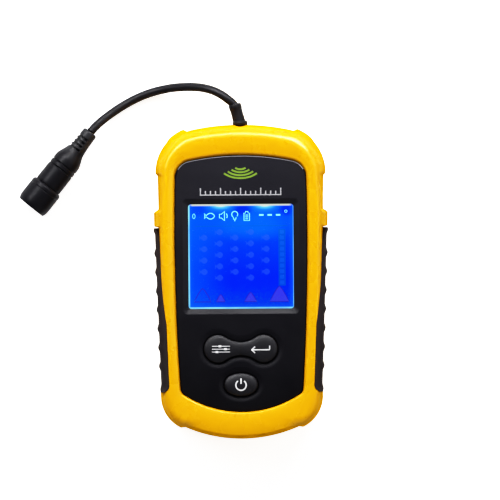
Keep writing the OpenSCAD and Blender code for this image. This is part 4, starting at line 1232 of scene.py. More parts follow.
# Half width and height of the gland's flange, with shares of them at places along the case
FLANGE_WIDE, FLANGE_HIGH = 2.95, 4.2
FLANGE_SHAPE = [(0.8, 0.58, 58.5), (0.8, 0.58, 61.3), (0.81, 0.64, 61.62), (0.86, 0.74, 61.72),
                (0.92, 0.84, 61.95), (0.97, 0.93, 62.35), (1, 1, 62.9), (0.99, 0.98, 63.4),
                (0.96, 0.93, 63.8), (0.92, 0.82, 64.05), (0.86, 0.66, 64.2)]
# Both ends of the visible sleeve, and its radius at shares of the way
SLEEVE_ENDS = Vector((-0.3, 63.6, SLEEVE_START.z)), Vector((-2.2, 70.75, SLEEVE_START.z))
SLEEVE_SHAPE = [(-0.06, 2.5), (0.06, 2.48), (0.14, 2.42), (0.4, 2.38), (0.68, 2.38), (0.705, 2.42),
                (0.73, 2.5), (0.78, 2.54), (0.93, 2.54), (0.97, 2.47), (0.992, 2.33), (1.0, 2.1),
                (1.0, 1.6)]
SLEEVE_SIDES = 48
UP = Vector((0, 0, 1))


def sleeve_point(turn):
    """Middle of the gland's sleeve after a turn."""
    radius, angle = sizes("lead").sleeve_bend, SLEEVE_TILT + turn
    shift = Vector((math.cos(angle) - math.cos(SLEEVE_TILT),
                    math.sin(angle) - math.sin(SLEEVE_TILT), 0))
    return SLEEVE_START + shift * radius


def cord_points():
    """Points of the lead beyond the gland, in millimetres."""
    end = sleeve_point(SLEEVE_TURN)
    return [Vector((end.x + x, end.y + y, z)) for x, y, z in CORD_ROUTE]


class FINDER_OT_lead(bpy.types.Operator):
    """Lead on its route, and the gland with its sleeve"""

    bl_idname = "finder.lead"
    bl_label = "Lead and gland"

    def execute(self, context):
        points = [sleeve_point(LEAD_START * SLEEVE_TURN)] + cord_points()
        deselect()
        bpy.ops.curve.primitive_bezier_curve_add(location=(0, 0, 0))
        cord = context.active_object
        cord.name = cord.data.name = "lead"
        line = cord.data.splines[0]
        line.bezier_points.add(len(points) - len(line.bezier_points))
        for knot, point in zip(line.bezier_points, points):
            knot.co = point * MM
            knot.handle_left_type = knot.handle_right_type = "AUTO"
        cord.data.bevel_depth = sizes("lead").cord / 2 * MM
        cord.data.bevel_resolution, cord.data.resolution_u = 10, 8
        cord.data.use_fill_caps = True
        paint(cord, "jacket")
        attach(cord, "case")
        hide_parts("cord")

        flange = loft("flange", [oval(FLANGE_WIDE * wide, FLANGE_HIGH * high, y)
                                 for wide, high, y in FLANGE_SHAPE])
        # The sleeve leans towards the lead and ends in a thicker ring
        start, end = SLEEVE_ENDS
        side = (end - start).normalized().cross(UP)
        rings = []
        for share, radius in SLEEVE_SHAPE:
            middle = mix(start, end, share)
            rings.append([middle + side * radius * math.cos(angle)
                          + Vector((0, 0, radius * math.sin(angle)))
                          for angle in turns(SLEEVE_SIDES)])
        gland = cut(flange, loft("sleeve", rings), how="UNION")
        gland.name = gland.data.name = "lead_gland"
        settle(gland, "jacket", "case", ["cable_gland"], 40)
        return {"FINISHED"}


SOCKET_AXIS = Vector((math.cos(math.radians(231.1)), math.sin(math.radians(231.1)), 0))
TURNED_STEPS = 96
# Half section of the connector's collar, slotted tail and cone: radius, and distance from its end
CONNECTOR_TAIL = [(0, 0), (2.2, 0), (2.65, 0.12), (2.95, 0.45), (3.08, 0.95), (3.1, 2.2), (3.16, 4.2),
                  (3.3, 6.4), (3.5, 8.4), (3.75, 9.9), (4.1, 10.9), (4.6, 12.1), (5.05, 13.2),
                  (5.35, 14.1), (5.5, 15), (5.55, 16.2)]
# The barrel widens from the cone to its full radius over this run, and has two grooves round it
CONE_R, BARREL_START, BARREL_RUN = 5.55, 16, 10
GROOVES, GROOVE = (17.2, 19.2), [(0, -0.42), (-0.12, -0.3), (-0.32, 0), (-0.12, 0.3), (0, 0.42)]
# Where the nut begins, the neck and the ring that hold it, and how far inside it the socket ends
NUT_START, NECK_R, KEEPER_R, MOUTH_IN = 27.7, 4.95, 5.5, 0.9
# The slots across the tail: first, pitch, number, half width, steps, and the arcs that they cover
SLOT_FIRST, SLOT_PITCH, SLOT_COUNT, SLOT_HALF, SLOT_STEPS = 3.6, 1.75, 4, 0.42, 22
SLOT_ARCS = ((-26, 116), (150, 238))
# A slot's depth at the top and at the outline, and the angles between which it changes
SLOT_DEPTHS, SLOT_SHALLOW = (1.8, 0.65), (45, 92)
# The tail's radius at its first slot, what each slot adds to it, and a radius beyond it
SLOT_R, SLOT_GROW, BEYOND_TAIL = 3.2, 0.09, 6
# The nut's thread: turns, pitch, distance from the end, and the half section of a turn
THREAD_TURNS, THREAD_PITCH, THREAD_IN = 6, 1.25, 1.3
THREAD = [(5.7, 0), (5.95, -0.25), (5.95, -0.55), (5.7, -0.8)]


class FINDER_OT_connector(bpy.types.Operator):
    """Connector at the end of the lead, and its coupling nut"""

    bl_idname = "finder.connector"
    bl_label = "Connector and nut"

    def execute(self, context):
        lead, origin = sizes("lead"), cord_points()[-1]
        barrel, nut, bore, end = lead.barrel / 2, lead.nut / 2, lead.bore / 2, NUT_START + lead.nut_l
        profile = list(CONNECTOR_TAIL)
        for middle in GROOVES:
            wide = mix(CONE_R, barrel, (middle - BARREL_START) / BARREL_RUN)
            profile += [(wide + rise, middle + along) for rise, along in GROOVE]
        mouth = end - MOUTH_IN
        profile += [(barrel, BARREL_START + BARREL_RUN), (barrel, 27.3), (barrel - 0.2, NUT_START),
                    (NECK_R, NUT_START), (NECK_R, 29), (KEEPER_R, 29), (KEEPER_R, 30), (NECK_R, 30),
                    (NECK_R, mouth - 0.3), (4.7, mouth), (4.15, mouth), (bore, mouth - 0.25),
                    (bore, mouth - 8), (3.5, mouth - 8), (3.5, mouth - 10), (0, mouth - 10)]
        body = turned("connector", profile, origin, SOCKET_AXIS, TURNED_STEPS)
        cut(body, joined("slots", [self.slot(origin, k, covers) for k in range(SLOT_COUNT)
                                   for covers in SLOT_ARCS]))
        settle(body, "plug", "case", ["connector_body"], 32)

        thread = []
        for k in range(THREAD_TURNS):
            place = end - THREAD_IN - THREAD_PITCH * k
            thread += [(radius, place + along) for radius, along in THREAD]
        ring = [(5.05, 27.78), (5.75, 27.75), (5.95, 27.8), (nut - 0.2, 28.3), (nut - 0.05, 28.5),
                (nut, 28.8), (nut, 29.75), (nut - 0.13, 29.95), (nut - 0.13, 30.1), (nut, 30.3),
                (nut, 33), (nut, end - 2.8), (nut - 0.06, end - 2.0), (nut - 0.19, end - 1.3),
                (nut - 0.38, end - 0.7), (nut - 0.6, end - 0.25), (5.8, end),
                (5.72, end - 0.12)] + thread + [(5.7, 28.95), (5.05, 28.95)]
        sleeve = turned("coupling_ring", ring, origin, SOCKET_AXIS, TURNED_STEPS)
        settle(sleeve, "socket", "coupling_nut", ["coupling_nut"], 32)

        exit_point = sleeve_point(SLEEVE_TURN) * MM
        return {"FINISHED"}

    def slot(self, origin, number, covers):
        """Cutter for part of a ring round the tail, shallower where it meets the outline."""
        middle = origin + SOCKET_AXIS * (SLOT_FIRST + SLOT_PITCH * number)
        across = SOCKET_AXIS.cross(UP)
        rings = []
        for step in range(SLOT_STEPS + 1):
            degrees = mix(*covers, step / SLOT_STEPS)
            angle = math.radians(degrees)
            out = UP * math.cos(angle) + across * math.sin(angle)
            floor = SLOT_R + SLOT_GROW * number - mix(*SLOT_DEPTHS, ease(degrees, *SLOT_SHALLOW))
            section = ((-SLOT_HALF, floor), (SLOT_HALF, floor), (SLOT_HALF, BEYOND_TAIL),
                       (-SLOT_HALF, BEYOND_TAIL))
            rings.append([middle + SOCKET_AXIS * along + out * far for along, far in section])
        return loft("slot", rings)


# Case


# The notch over the gland's flange: middle, half width and half length
NOTCH = (0, 63.35, 3.2, 1.75)
# A height beyond the front, and the thickness of the front shell's ledge
BEYOND_FRONT, LEDGE_THICK = 40, 1.6


class FINDER_OT_front_shell(bpy.types.Operator):
    """Front shell with its crowned rim, pads, panel well and pockets"""

    bl_idname = "finder.front_shell"
    bl_label = "Front shell"

    def execute(self, context):
        skin, under = Skin(), sizes("front").panel_under
        split, below = skin.case.split, under - LEDGE_THICK
        rings = skin.front_rings() + skin.rim_rings()
        rings += [lifted(skin.well, under), lifted(skin.ledge, under), lifted(skin.ledge, below),
                  lifted(skin.room, below), lifted(skin.room, split)]
        shell = hoop("front_case", rings)
        notch = ellipse(*NOTCH, 40)
        cut(shell, grip_pocket(1), grip_pocket(-1), gland_hole(),
            loft("notch", [lifted(notch, z) for z in (split - 1, BEYOND_FRONT)]))
        settle(shell, "case", "case", ["front_shell"], 33)
        # Only the shell's rim shows the glint
        shown = bpy.data.collections.new("glint_receivers")
        shown.objects.link(shell)
        bpy.data.objects["glint"].light_linking.receiver_collection = shown
        return {"FINISHED"}


SCREW_PLACES = [(-25.49, 48.93), (25.49, 48.93), (-27.23, -48.04), (27.23, -48.04)]
# Half section of a screw's seat and hole in the back: radius and height
SCREW_SEAT = [(0, -1), (2.6, -1), (2.35, 0.15), (2.2, 0.4), (2.2, 5), (1.35, 5), (1.35, 20), (0, 20)]
# The opening of the battery bay, and the height of the floor inside the rear shell
BAY_LOW, BAY_HIGH, REAR_FLOOR = (-22.85, -51.95, 1), (22.85, 0.35, 6), 3.6
# The door's half width, that of its tongues, their heights, the gap round it, and its upper end
DOOR_HALF, TONGUE_HALF, TONGUE_Z, DOOR_GAP, DOOR_TOP = 23, 24.2, (1.2, 2), 0.2, 1.6
# Places beyond the back and beyond the lower end, and how many of the back's rings the door takes
BEYOND_BACK, BEYOND_FOOT, DOOR_RINGS = -1, -80, 9
# The door's thumb grooves: places, half length, radius and the height of their middles
THUMB_GROOVES, THUMB_HALF, THUMB_R, THUMB_Z = (-52.5, -50.3, -48.1, -45.9), 9, 0.8, -0.35
DOOR_ARROW = [(-3.2, -38.5), (0, -42.2), (3.2, -38.5), (1.3, -38.5), (1.3, -34), (-1.3, -34),
              (-1.3, -38.5)]
ARROW_DEPTH = 0.3


def door_prism(gap):
    """The door's face with the tongues beside it, or with a gap the channel that it slides in."""
    face, tongue = DOOR_HALF + gap, TONGUE_HALF + gap
    low, high = TONGUE_Z[0] - gap, TONGUE_Z[1] + gap
    section = [(-face, BEYOND_BACK), (face, BEYOND_BACK), (face, low), (tongue, low), (tongue, high),
               (-tongue, high), (-tongue, low), (-face, low)]
    return loft("door_prism", [[(x, y, z) for x, z in section]
                               for y in (DOOR_TOP + gap, BEYOND_FOOT)])


class FINDER_OT_rear_shell(bpy.types.Operator):
    """Rear shell with the door's channel, the battery opening and the screw seats"""

    bl_idname = "finder.rear_shell"
    bl_label = "Rear shell"

    def execute(self, context):
        skin = Skin()
        rings = skin.back_rings()
        rings += [lifted(skin.room, skin.case.split), lifted(skin.room, REAR_FLOOR)]
        shell = loft("rear_case", rings)
        seats = [turned("seat", SCREW_SEAT, (x, y, 0), UP, 40) for x, y in SCREW_PLACES]
        cut(shell, door_prism(DOOR_GAP), block("opening", BAY_LOW, BAY_HIGH),
            joined("seats", seats), grip_pocket(1), grip_pocket(-1), gland_hole())
        settle(shell, "case", "case", ["rear_shell"], 33)
        return {"FINISHED"}


class FINDER_OT_battery_door(bpy.types.Operator):
    """Sliding battery door with thumb grooves and an arrow"""

    bl_idname = "finder.battery_door"
    bl_label = "Battery door"

    def execute(self, context):
        door = loft("battery_cover", Skin().back_rings()[:DOOR_RINGS])
        cut(door, door_prism(0), how="INTERSECT")
        marks = [rod("groove", (-THUMB_HALF, y, THUMB_Z), (THUMB_HALF, y, THUMB_Z), THUMB_R, 24)
                 for y in THUMB_GROOVES]
        marks.append(patch(DOOR_ARROW, BEYOND_BACK, ARROW_DEPTH))
        cut(door, joined("marks", marks))
        settle(door, "case", "battery_door", ["battery_door"], 33)
        return {"FINISHED"}


RIB_COUNT = 7
# Lips at a grip's two ends: distance from the end, half length and height
TOP_LIP, FOOT_LIP = (0.9, 2.0, 0.6), (1.2, 2.2, 0.5)
# Radius of a grip's long edges at the lower and upper end, and the largest share of the height
# that it takes
GRIP_TURN, GRIP_TURN_SHARE, GRIP_TURN_STEPS = (3.2, 2.3), 0.45, 10
# Least thickness of a grip
GRIP_THIN = 0.1


class FINDER_OT_grips(bpy.types.Operator):
    """Left and right rubber grips with their ribs and end lips"""

    bl_idname = "finder.grips"
    bl_label = "Grips"

    def execute(self, context):
        grips, outline = sizes("grips"), case_outline()
        # Ribs along the outer face, and a lip at each end: middle, half length and height
        bumps = [(grips.top_y - grips.rib_first - grips.rib_pitch * k, grips.rib_half,
                  grips.rib_proud) for k in range(RIB_COUNT)]
        bumps += [(grips.top_y - TOP_LIP[0], *TOP_LIP[1:]), (grips.foot_y + FOOT_LIP[0], *FOOT_LIP[1:])]
        for side, name, node in ((-1, "grip_left", "left_grip"), (1, "grip_right", "right_grip")):
            rings = []
            for y in grip_stations():
                share = (y - grips.foot_y) / (grips.top_y - grips.foot_y)
                wall = outline.side_x(y)
                outer = wall + mix(grips.out_foot, grips.out_top, share)
                inner = min(wall - grip_depth(y), outer - GRIP_THIN)
                rise = sum(high * math.cos(math.pi / 2 * (y - middle) / half) ** 2
                           for middle, half, high in bumps if abs(y - middle) < half)
                top = grip_top(y)
                turn = min(mix(*GRIP_TURN, share), GRIP_TURN_SHARE * (top - grips.low), outer - inner)
                ring = [(inner, grips.low)]
                for start, middle in ((-90, (outer - turn, grips.low + turn)),
                                      (0, (outer - turn, top - turn))):
                    for k in range(GRIP_TURN_STEPS + 1):
                        angle = math.radians(start + 90 / GRIP_TURN_STEPS * k)
                        grow = turn + rise * math.cos(angle) ** 2
                        ring.append((middle[0] + grow * math.cos(angle),
                                     middle[1] + turn * math.sin(angle)))
                ring.append((inner, top))
                rings.append([(side * x, y, z) for x, z in ring])
            settle(loft(name, rings), "rubber", "case", [node], 40)
        return {"FINISHED"}


# Front


def rounded_rect(width, height, radius, middle_y, count=10):
    points = []
    for k, (side, end) in enumerate(((1, -1), (1, 1), (-1, 1), (-1, -1))):
        x, y = side * (width / 2 - radius), middle_y + end * (height / 2 - radius)
        start = math.radians(-90 + 90 * k)
        points += [(x + radius * math.cos(start + math.pi / 2 * i / count),
                    y + radius * math.sin(start + math.pi / 2 * i / count))
                   for i in range(count + 1)]
    return points


def waist():
    """Radius and place of the arcs that draw in the paired key, and where they meet its lobes."""
    front = sizes("front")
    half = front.neck / 2
    radius = (front.lobe_x ** 2 + half ** 2 - front.lobe_r ** 2) / (2 * (front.lobe_r - half))
    return radius, half + radius, math.atan2(half + radius, -front.lobe_x)


def pair_plan(grow):
    """Whole outline of the paired key, counter-clockwise from the middle of its lower edge."""
    front = sizes("front")
    radius, high, meet = waist()
    low = math.atan2(high, front.lobe_x)
    right = [(0.0, -front.neck / 2 - grow)]
    right += arc((0, -high), radius - grow, math.pi / 2, low, 14)
    right += arc((front.lobe_x, 0), front.lobe_r + grow, -meet, meet, 48)
    right += arc((0, high), radius - grow, -low, -math.pi / 2, 14)
    return [(x + front.key_x, y + front.pair_y)
            for x, y in right + [(-x, y) for x, y in right[-2:0:-1]]]


# Radius of the power key's ends as a share of its height
POWER_END = 0.42


def power_plan(grow, count=36):
    """Outline of the power key: an oval of four arcs."""
    front = sizes("front")
    end_r = front.power_h * POWER_END
    end_x, rise = front.power_w / 2 - end_r, front.power_h / 2 - end_r
    drop = (end_x ** 2 - rise ** 2) / (2 * rise)
    long_r = front.power_h / 2 + drop
    meet = math.atan2(drop, end_x)
    points = arc((end_x, 0), end_r + grow, -meet, meet, count)
    points += arc((0, -drop), long_r + grow, meet, math.pi - meet, count)
    points += arc((-end_x, 0), end_r + grow, math.pi - meet, math.pi + meet, count)
    points += arc((0, drop), long_r + grow, math.pi + meet, math.tau - meet, count)
    return [(x + front.key_x, y + front.power_y) for x, y in points]


# The window's corner radius, and what it gains with the bevel's width
WINDOW_CORNER, CORNER_GROWTH = 1.2, 0.25
# The painted highlight along the panel's upper edge: inset, width, heights from the panel's face, and
# where it begins
HIGHLIGHT_INSET, HIGHLIGHT_WIDTH, HIGHLIGHT_Z, HIGHLIGHT_START = 0.32, 0.36, (-0.12, 0.01), 44.5
# Print on the panel: its heights above the face
PRINT_Z = (0.002, 0.03)
# Ripples: number, least radius, spacing, middle, flattening, half angle, steps and width
RIPPLES, RIPPLE_R, RIPPLE_STEP, RIPPLE_Y, RIPPLE_FLAT = 4, 2.6, 1.9, 46.2, 0.62
RIPPLE_ANGLE, RIPPLE_STEPS, RIPPLE_WIDTH = 52, 24, 0.75
# Ticks: number each side of the middle, spacing, foot, heights, width, and the line below them
TICKS, TICK_STEP, TICK_Y, TICK_HIGH, TICK_LOW, TICK_WIDTH = 8, 2, 34.6, 2.6, 1.4, 0.5
TICK_LINE_Y, TICK_LINE_HALF, TICK_LINE_WIDTH = 34.4, 16.25, 0.45


class FINDER_OT_panel(bpy.types.Operator):
    """Charcoal panel with its bevelled window and dished key openings, and its print"""

    bl_idname = "finder.panel"
    bl_label = "Front panel"

    def execute(self, context):
        front, plan = sizes("front"), panel_outline()
        low, face, bevel, gap = front.panel_under, front.panel_z, front.bevel, front.key_gap
        # Insets and heights of the panel's edge
        edge = [(0.25, low), (0, low + 0.25), (0, face - 0.42), (0.04, face - 0.29),
                (0.12, face - 0.21), (0.42, face - 0.04), (0.56, face)]
        panel = loft("face_panel", [lifted(plan.points(inset), z) for inset, z in edge])
        # What the window and the keys' dishes grow by at each height
        slope = [(0, low - 1), (0, low + 0.85), (0.08, low + 0.95), (bevel - 0.12, face - 0.14),
                 (bevel + 0.02, face - 0.05), (bevel + 0.22, face - 0.005), (bevel + 0.3, face + 0.1)]
        window = loft("window", [lifted(rounded_rect(front.window_w + 2 * grow,
                                                     front.window_h + 2 * grow,
                                                     WINDOW_CORNER + CORNER_GROWTH * grow,
                                                     front.window_y), z) for grow, z in slope])
        dish = [(gap, low - 1), (gap, face - 0.52), (0.5, face - 0.48), (0.75, face - 0.43),
                (1.05, face - 0.35), (1.35, face - 0.26), (1.65, face - 0.165), (1.95, face - 0.09),
                (2.2, face - 0.04), (2.45, face - 0.014), (2.7, face + 0.002), (2.8, face + 0.02)]
        keys = [loft("dish", [lifted(key_plan(grow), z) for grow, z in dish])
                for key_plan in (pair_plan, power_plan)]
        cut(panel, window, *keys)
        settle(panel, "panel", "case", ["front_panel"], 28)
        even_normals(panel)

        # Painted highlight along the panel's upper edge, where light catches it
        line = [point for point in plan.points(HIGHLIGHT_INSET) if point[1] > HIGHLIGHT_START]
        line.sort(key=lambda point: point[0])
        strip = joined("panel_edge_highlight", [stroke(line, HIGHLIGHT_WIDTH, *(face + rise for rise in HIGHLIGHT_Z))])
        settle(strip, "cut_edge", "case")

        # Print above the window: ripples that spread from a point, over a row of ticks
        heights = [face + rise for rise in PRINT_Z]
        ripples = []
        for k in range(RIPPLES):
            radius = RIPPLE_R + RIPPLE_STEP * k
            path = [(radius * math.sin(angle), RIPPLE_Y - radius * math.cos(angle) * RIPPLE_FLAT)
                    for angle in (math.radians(-RIPPLE_ANGLE + 2 * RIPPLE_ANGLE * i / RIPPLE_STEPS)
                                  for i in range(RIPPLE_STEPS + 1))]
            ripples.append(stroke(path, RIPPLE_WIDTH, *heights))
        settle(joined("ripple_print", ripples), "green_print", "case")
        ticks = []
        for k in range(-TICKS, TICKS + 1):
            high = TICK_HIGH if k % 4 == 0 else TICK_LOW
            ticks.append(stroke([(k * TICK_STEP, TICK_Y), (k * TICK_STEP, TICK_Y + high)], TICK_WIDTH,
                                *heights))
        ticks.append(stroke([(-TICK_LINE_HALF, TICK_LINE_Y), (TICK_LINE_HALF, TICK_LINE_Y)],
                            TICK_LINE_WIDTH, *heights))
        settle(joined("scale_print", ticks), "grey_print", "case")
        return {"FINISHED"}


# A key's flange under the panel, with its heights, the foot of its wall and the height of its dome
KEY_FLANGE, KEY_FLANGE_Z, KEY_WALL_Z, KEY_DOME = 1.2, (24.8, 25.7), 26, 1.25
# The dome's rings: number, spacing and reach towards the spine, and the powers that round it
DOME_STEPS, DOME_SPACING, DOME_REACH, DOME_SOFT, DOME_FULL = 18, 1.5, 0.97, 2.2, 0.52
# The dip at the paired key's waist, and the places across it between which it fades
WAIST_DROP, WAIST_X = 0.35, (1.5, 8)
# Half the gap between the paired key's halves, and the power key's spine as a share of its width
HALVES_GAP, POWER_SPINE = 0.05, 0.45
# Lower and higher layer of the print on the keys, above their crowns
UNDER_PRINT, OVER_PRINT, POWER_PRINT = (0.005, 0.03), (0.01, 0.035), (0.005, 0.035)
# The paired key's symbols: shift towards the waist, half length, and drop below the key's middle
SYMBOL_SHIFT, SYMBOL_HALF, SYMBOL_DROP = 1.2, 3.6, 0.1
# Sliders: row and place of each knob, spacing, half length of a knob, and widths
SLIDERS, SLIDER_STEP, KNOB_HALF = ((-1, -1.6), (0, 1.8), (1, -0.4)), 1.15, 0.55
SLIDER_WIDTH, KNOB_WIDTH, ARROW_WIDTH = 0.3, 0.85, 0.5
# The power symbol: radius, drop, half of its opening in degrees, steps and width
POWER_R, POWER_DROP, POWER_OPEN, POWER_STEPS, POWER_WIDTH = 2.05, 0.2, 36, 40, 0.58


def key_rings(plan, spine_x, spine_y, waist_drop=0.0):
    """Rings of a soft key: a flange, a wall, then a dome that runs in to its spine."""
    front = sizes("front")
    edge, flange, foot = plan(0), plan(KEY_FLANGE), front.key_z - KEY_DOME
    low, high = KEY_FLANGE_Z
    rings = [lifted(flange, low), lifted(flange, high), lifted(edge, high),
             lifted(edge, KEY_WALL_Z), lifted(edge, foot)]
    for k in range(1, DOME_STEPS + 1):
        run = (k / DOME_STEPS) ** DOME_SPACING * DOME_REACH
        height = (1 - (1 - run) ** DOME_SOFT) ** DOME_FULL
        ring = []
        for x, y in edge:
            dome = KEY_DOME - waist_drop * (1 - ease(abs(x - front.key_x), *WAIST_X))
            ring.append((mix(x, spine_x(x), run), mix(y, spine_y, run), foot + dome * height))
        rings.append(ring)
    return rings


def stepped(points, steps=8):
    """A path with steps between its points, so that it can follow a crowned surface."""
    return [tuple(mix(Vector(first), Vector(last), i / steps))
            for first, last in zip(points, points[1:]) for i in range(steps)] + [points[-1]]


class FINDER_OT_keys(bpy.types.Operator):
    """Setup, enter and power keys with their symbols"""

    bl_idname = "finder.keys"
    bl_label = "Keys"

    def execute(self, context):
        front = sizes("front")
        left, right = front.key_x - front.lobe_x, front.key_x + front.lobe_x
        made = {}
        pair = loft("pair", key_rings(pair_plan, lambda x: max(left, min(right, x)), front.pair_y,
                                      WAIST_DROP))
        for side, name, node in ((-1, "setup_cap", "setup_key"), (1, "enter_cap", "enter_key")):
            half = copied(pair, name, (0, 0, 0))
            bpy.ops.object.mode_set(mode="EDIT")
            bpy.ops.mesh.select_all(action="SELECT")
            bpy.ops.mesh.bisect(plane_co=((front.key_x + side * HALVES_GAP) * MM, 0, 0),
                                plane_no=(side, 0, 0), use_fill=True, clear_inner=True,
                                threshold=0.001 * MM)
            bpy.ops.object.mode_set(mode="OBJECT")
            made[node] = settle(clean(half), "keys", node, [node], 50)
        bpy.data.objects.remove(pair)
        cap = loft("power_cap", key_rings(power_plan, lambda x: mix(front.key_x, x, POWER_SPINE),
                                          front.power_y))
        made["power_key"] = settle(cap, "keys", "power_key", ["power_key"], 50)
        y = front.pair_y - SYMBOL_DROP
        symbols = {"setup": self.sliders(left + SYMBOL_SHIFT, y),
                   "enter": self.turning_arrow(right - SYMBOL_SHIFT, y),
                   "power": self.power_symbol(front.key_x, front.power_y)}
        for name, lines in symbols.items():
            node = name + "_key"
            settle(drape(joined(name + "_symbol", lines), made[node]), "legend", node)
        return {"FINISHED"}

    def sliders(self, x, y):
        lines = []
        for row, knob in SLIDERS:
            high = y + row * SLIDER_STEP
            lines.append(stroke(stepped([(x - SYMBOL_HALF, high), (x + SYMBOL_HALF, high)]),
                                SLIDER_WIDTH, *UNDER_PRINT))
            lines.append(stroke(stepped([(x + knob - KNOB_HALF, high), (x + knob + KNOB_HALF, high)]),
                                KNOB_WIDTH, *OVER_PRINT))
        return lines

    def turning_arrow(self, x, y):
        """A long arrow that turns back."""
        shaft = [(x + SYMBOL_HALF, y + 1.3), (x + SYMBOL_HALF, y - 0.35), (x - 3.5, y - 0.35)]
        head = [(x - 2.2, y + 0.95), (x - SYMBOL_HALF, y - 0.35), (x - 2.2, y - 1.65)]
        return [stroke(stepped(shaft), ARROW_WIDTH, *UNDER_PRINT),
                stroke(stepped(head), ARROW_WIDTH, *OVER_PRINT)]

    def power_symbol(self, x, y):
        sweep = 360 - 2 * POWER_OPEN
        ring = [(x + POWER_R * math.sin(angle), y - POWER_DROP + POWER_R * math.cos(angle))
                for angle in (math.radians(POWER_OPEN + sweep * k / POWER_STEPS)
                              for k in range(POWER_STEPS + 1))]
        return [stroke(ring, POWER_WIDTH, *POWER_PRINT),
                stroke(stepped([(x, y + 2.55), (x, y + 0.3)]), POWER_WIDTH, *POWER_PRINT)]


# Display


# Heights of the display's marks above its glass, and what the marks that lie over others add
MARK_Z, MARK_STEP = (0.005, 0.03), 0.01
# A plain fish in plan: a body that narrows to a forked tail
FISH = [(1.0, 0), (0.8, 0.22), (0.45, 0.36), (0.05, 0.38), (-0.35, 0.24), (-0.62, 0.08),
        (-1.0, 0.34), (-0.88, 0), (-1.0, -0.34), (-0.62, -0.08), (-0.35, -0.24), (0.05, -0.38),
        (0.45, -0.36), (0.8, -0.22)]
# Middle of the row of symbols, the widths of its lines, and its spacings
ROW_Y, LINE, THIN_LINE, BAR, DASH = 26.0, 0.4, 0.24, 0.36, 0.7
BAR_STEP, DASH_STEP = 0.75, 3.35
# The shoal: columns, first rows of the odd and even columns, spacing, length and fatness of a fish
SHOAL_X, SHOAL_ODD, SHOAL_EVEN, SHOAL_STEP = (-15.0, -8.8, -2.6, 3.6, 9.8), 19.6, 17.4, 4.55
SHOAL_SIZE, SHOAL_FAT = 1.75, 1.9
# The scale's field, and its cells: width, height, corner, middle, first, spacing and number
SCALE_FIELD = [(14.9, -1.9), (17.8, -1.9), (17.8, 20.7), (14.9, 20.7)]
CELL_W, CELL_H, CELL_CORNER, CELL_X, CELL_FIRST, CELL_STEP, CELLS = 1.7, 1.55, 0.3, 16.35, -0.6, 2.24, 10
# The sea bed's hills: middle, half width and height, their foot, and the shares that they are drawn at
HILLS = ((-15.4, 3.4, 5.4), (-8.2, 1.8, 3.0), (3.7, 2.5, 3.8), (15.2, 3.8, 6.2))
HILLS_FOOT, HILL_ROUND, HILL_LINE = -8.2, 1.3, 0.32
HILL_SHARES = (1, 0.8, 0.6, 0.4, 0.2, 0, -0.2, -0.4, -0.6, -0.8, -1)
# Hills to the left of this place are outlines only
FILLED_FROM = -10


def fish(x, y, size, fat=1.0):
    return [(x + run * size, y + rise * size * fat) for run, rise in FISH]


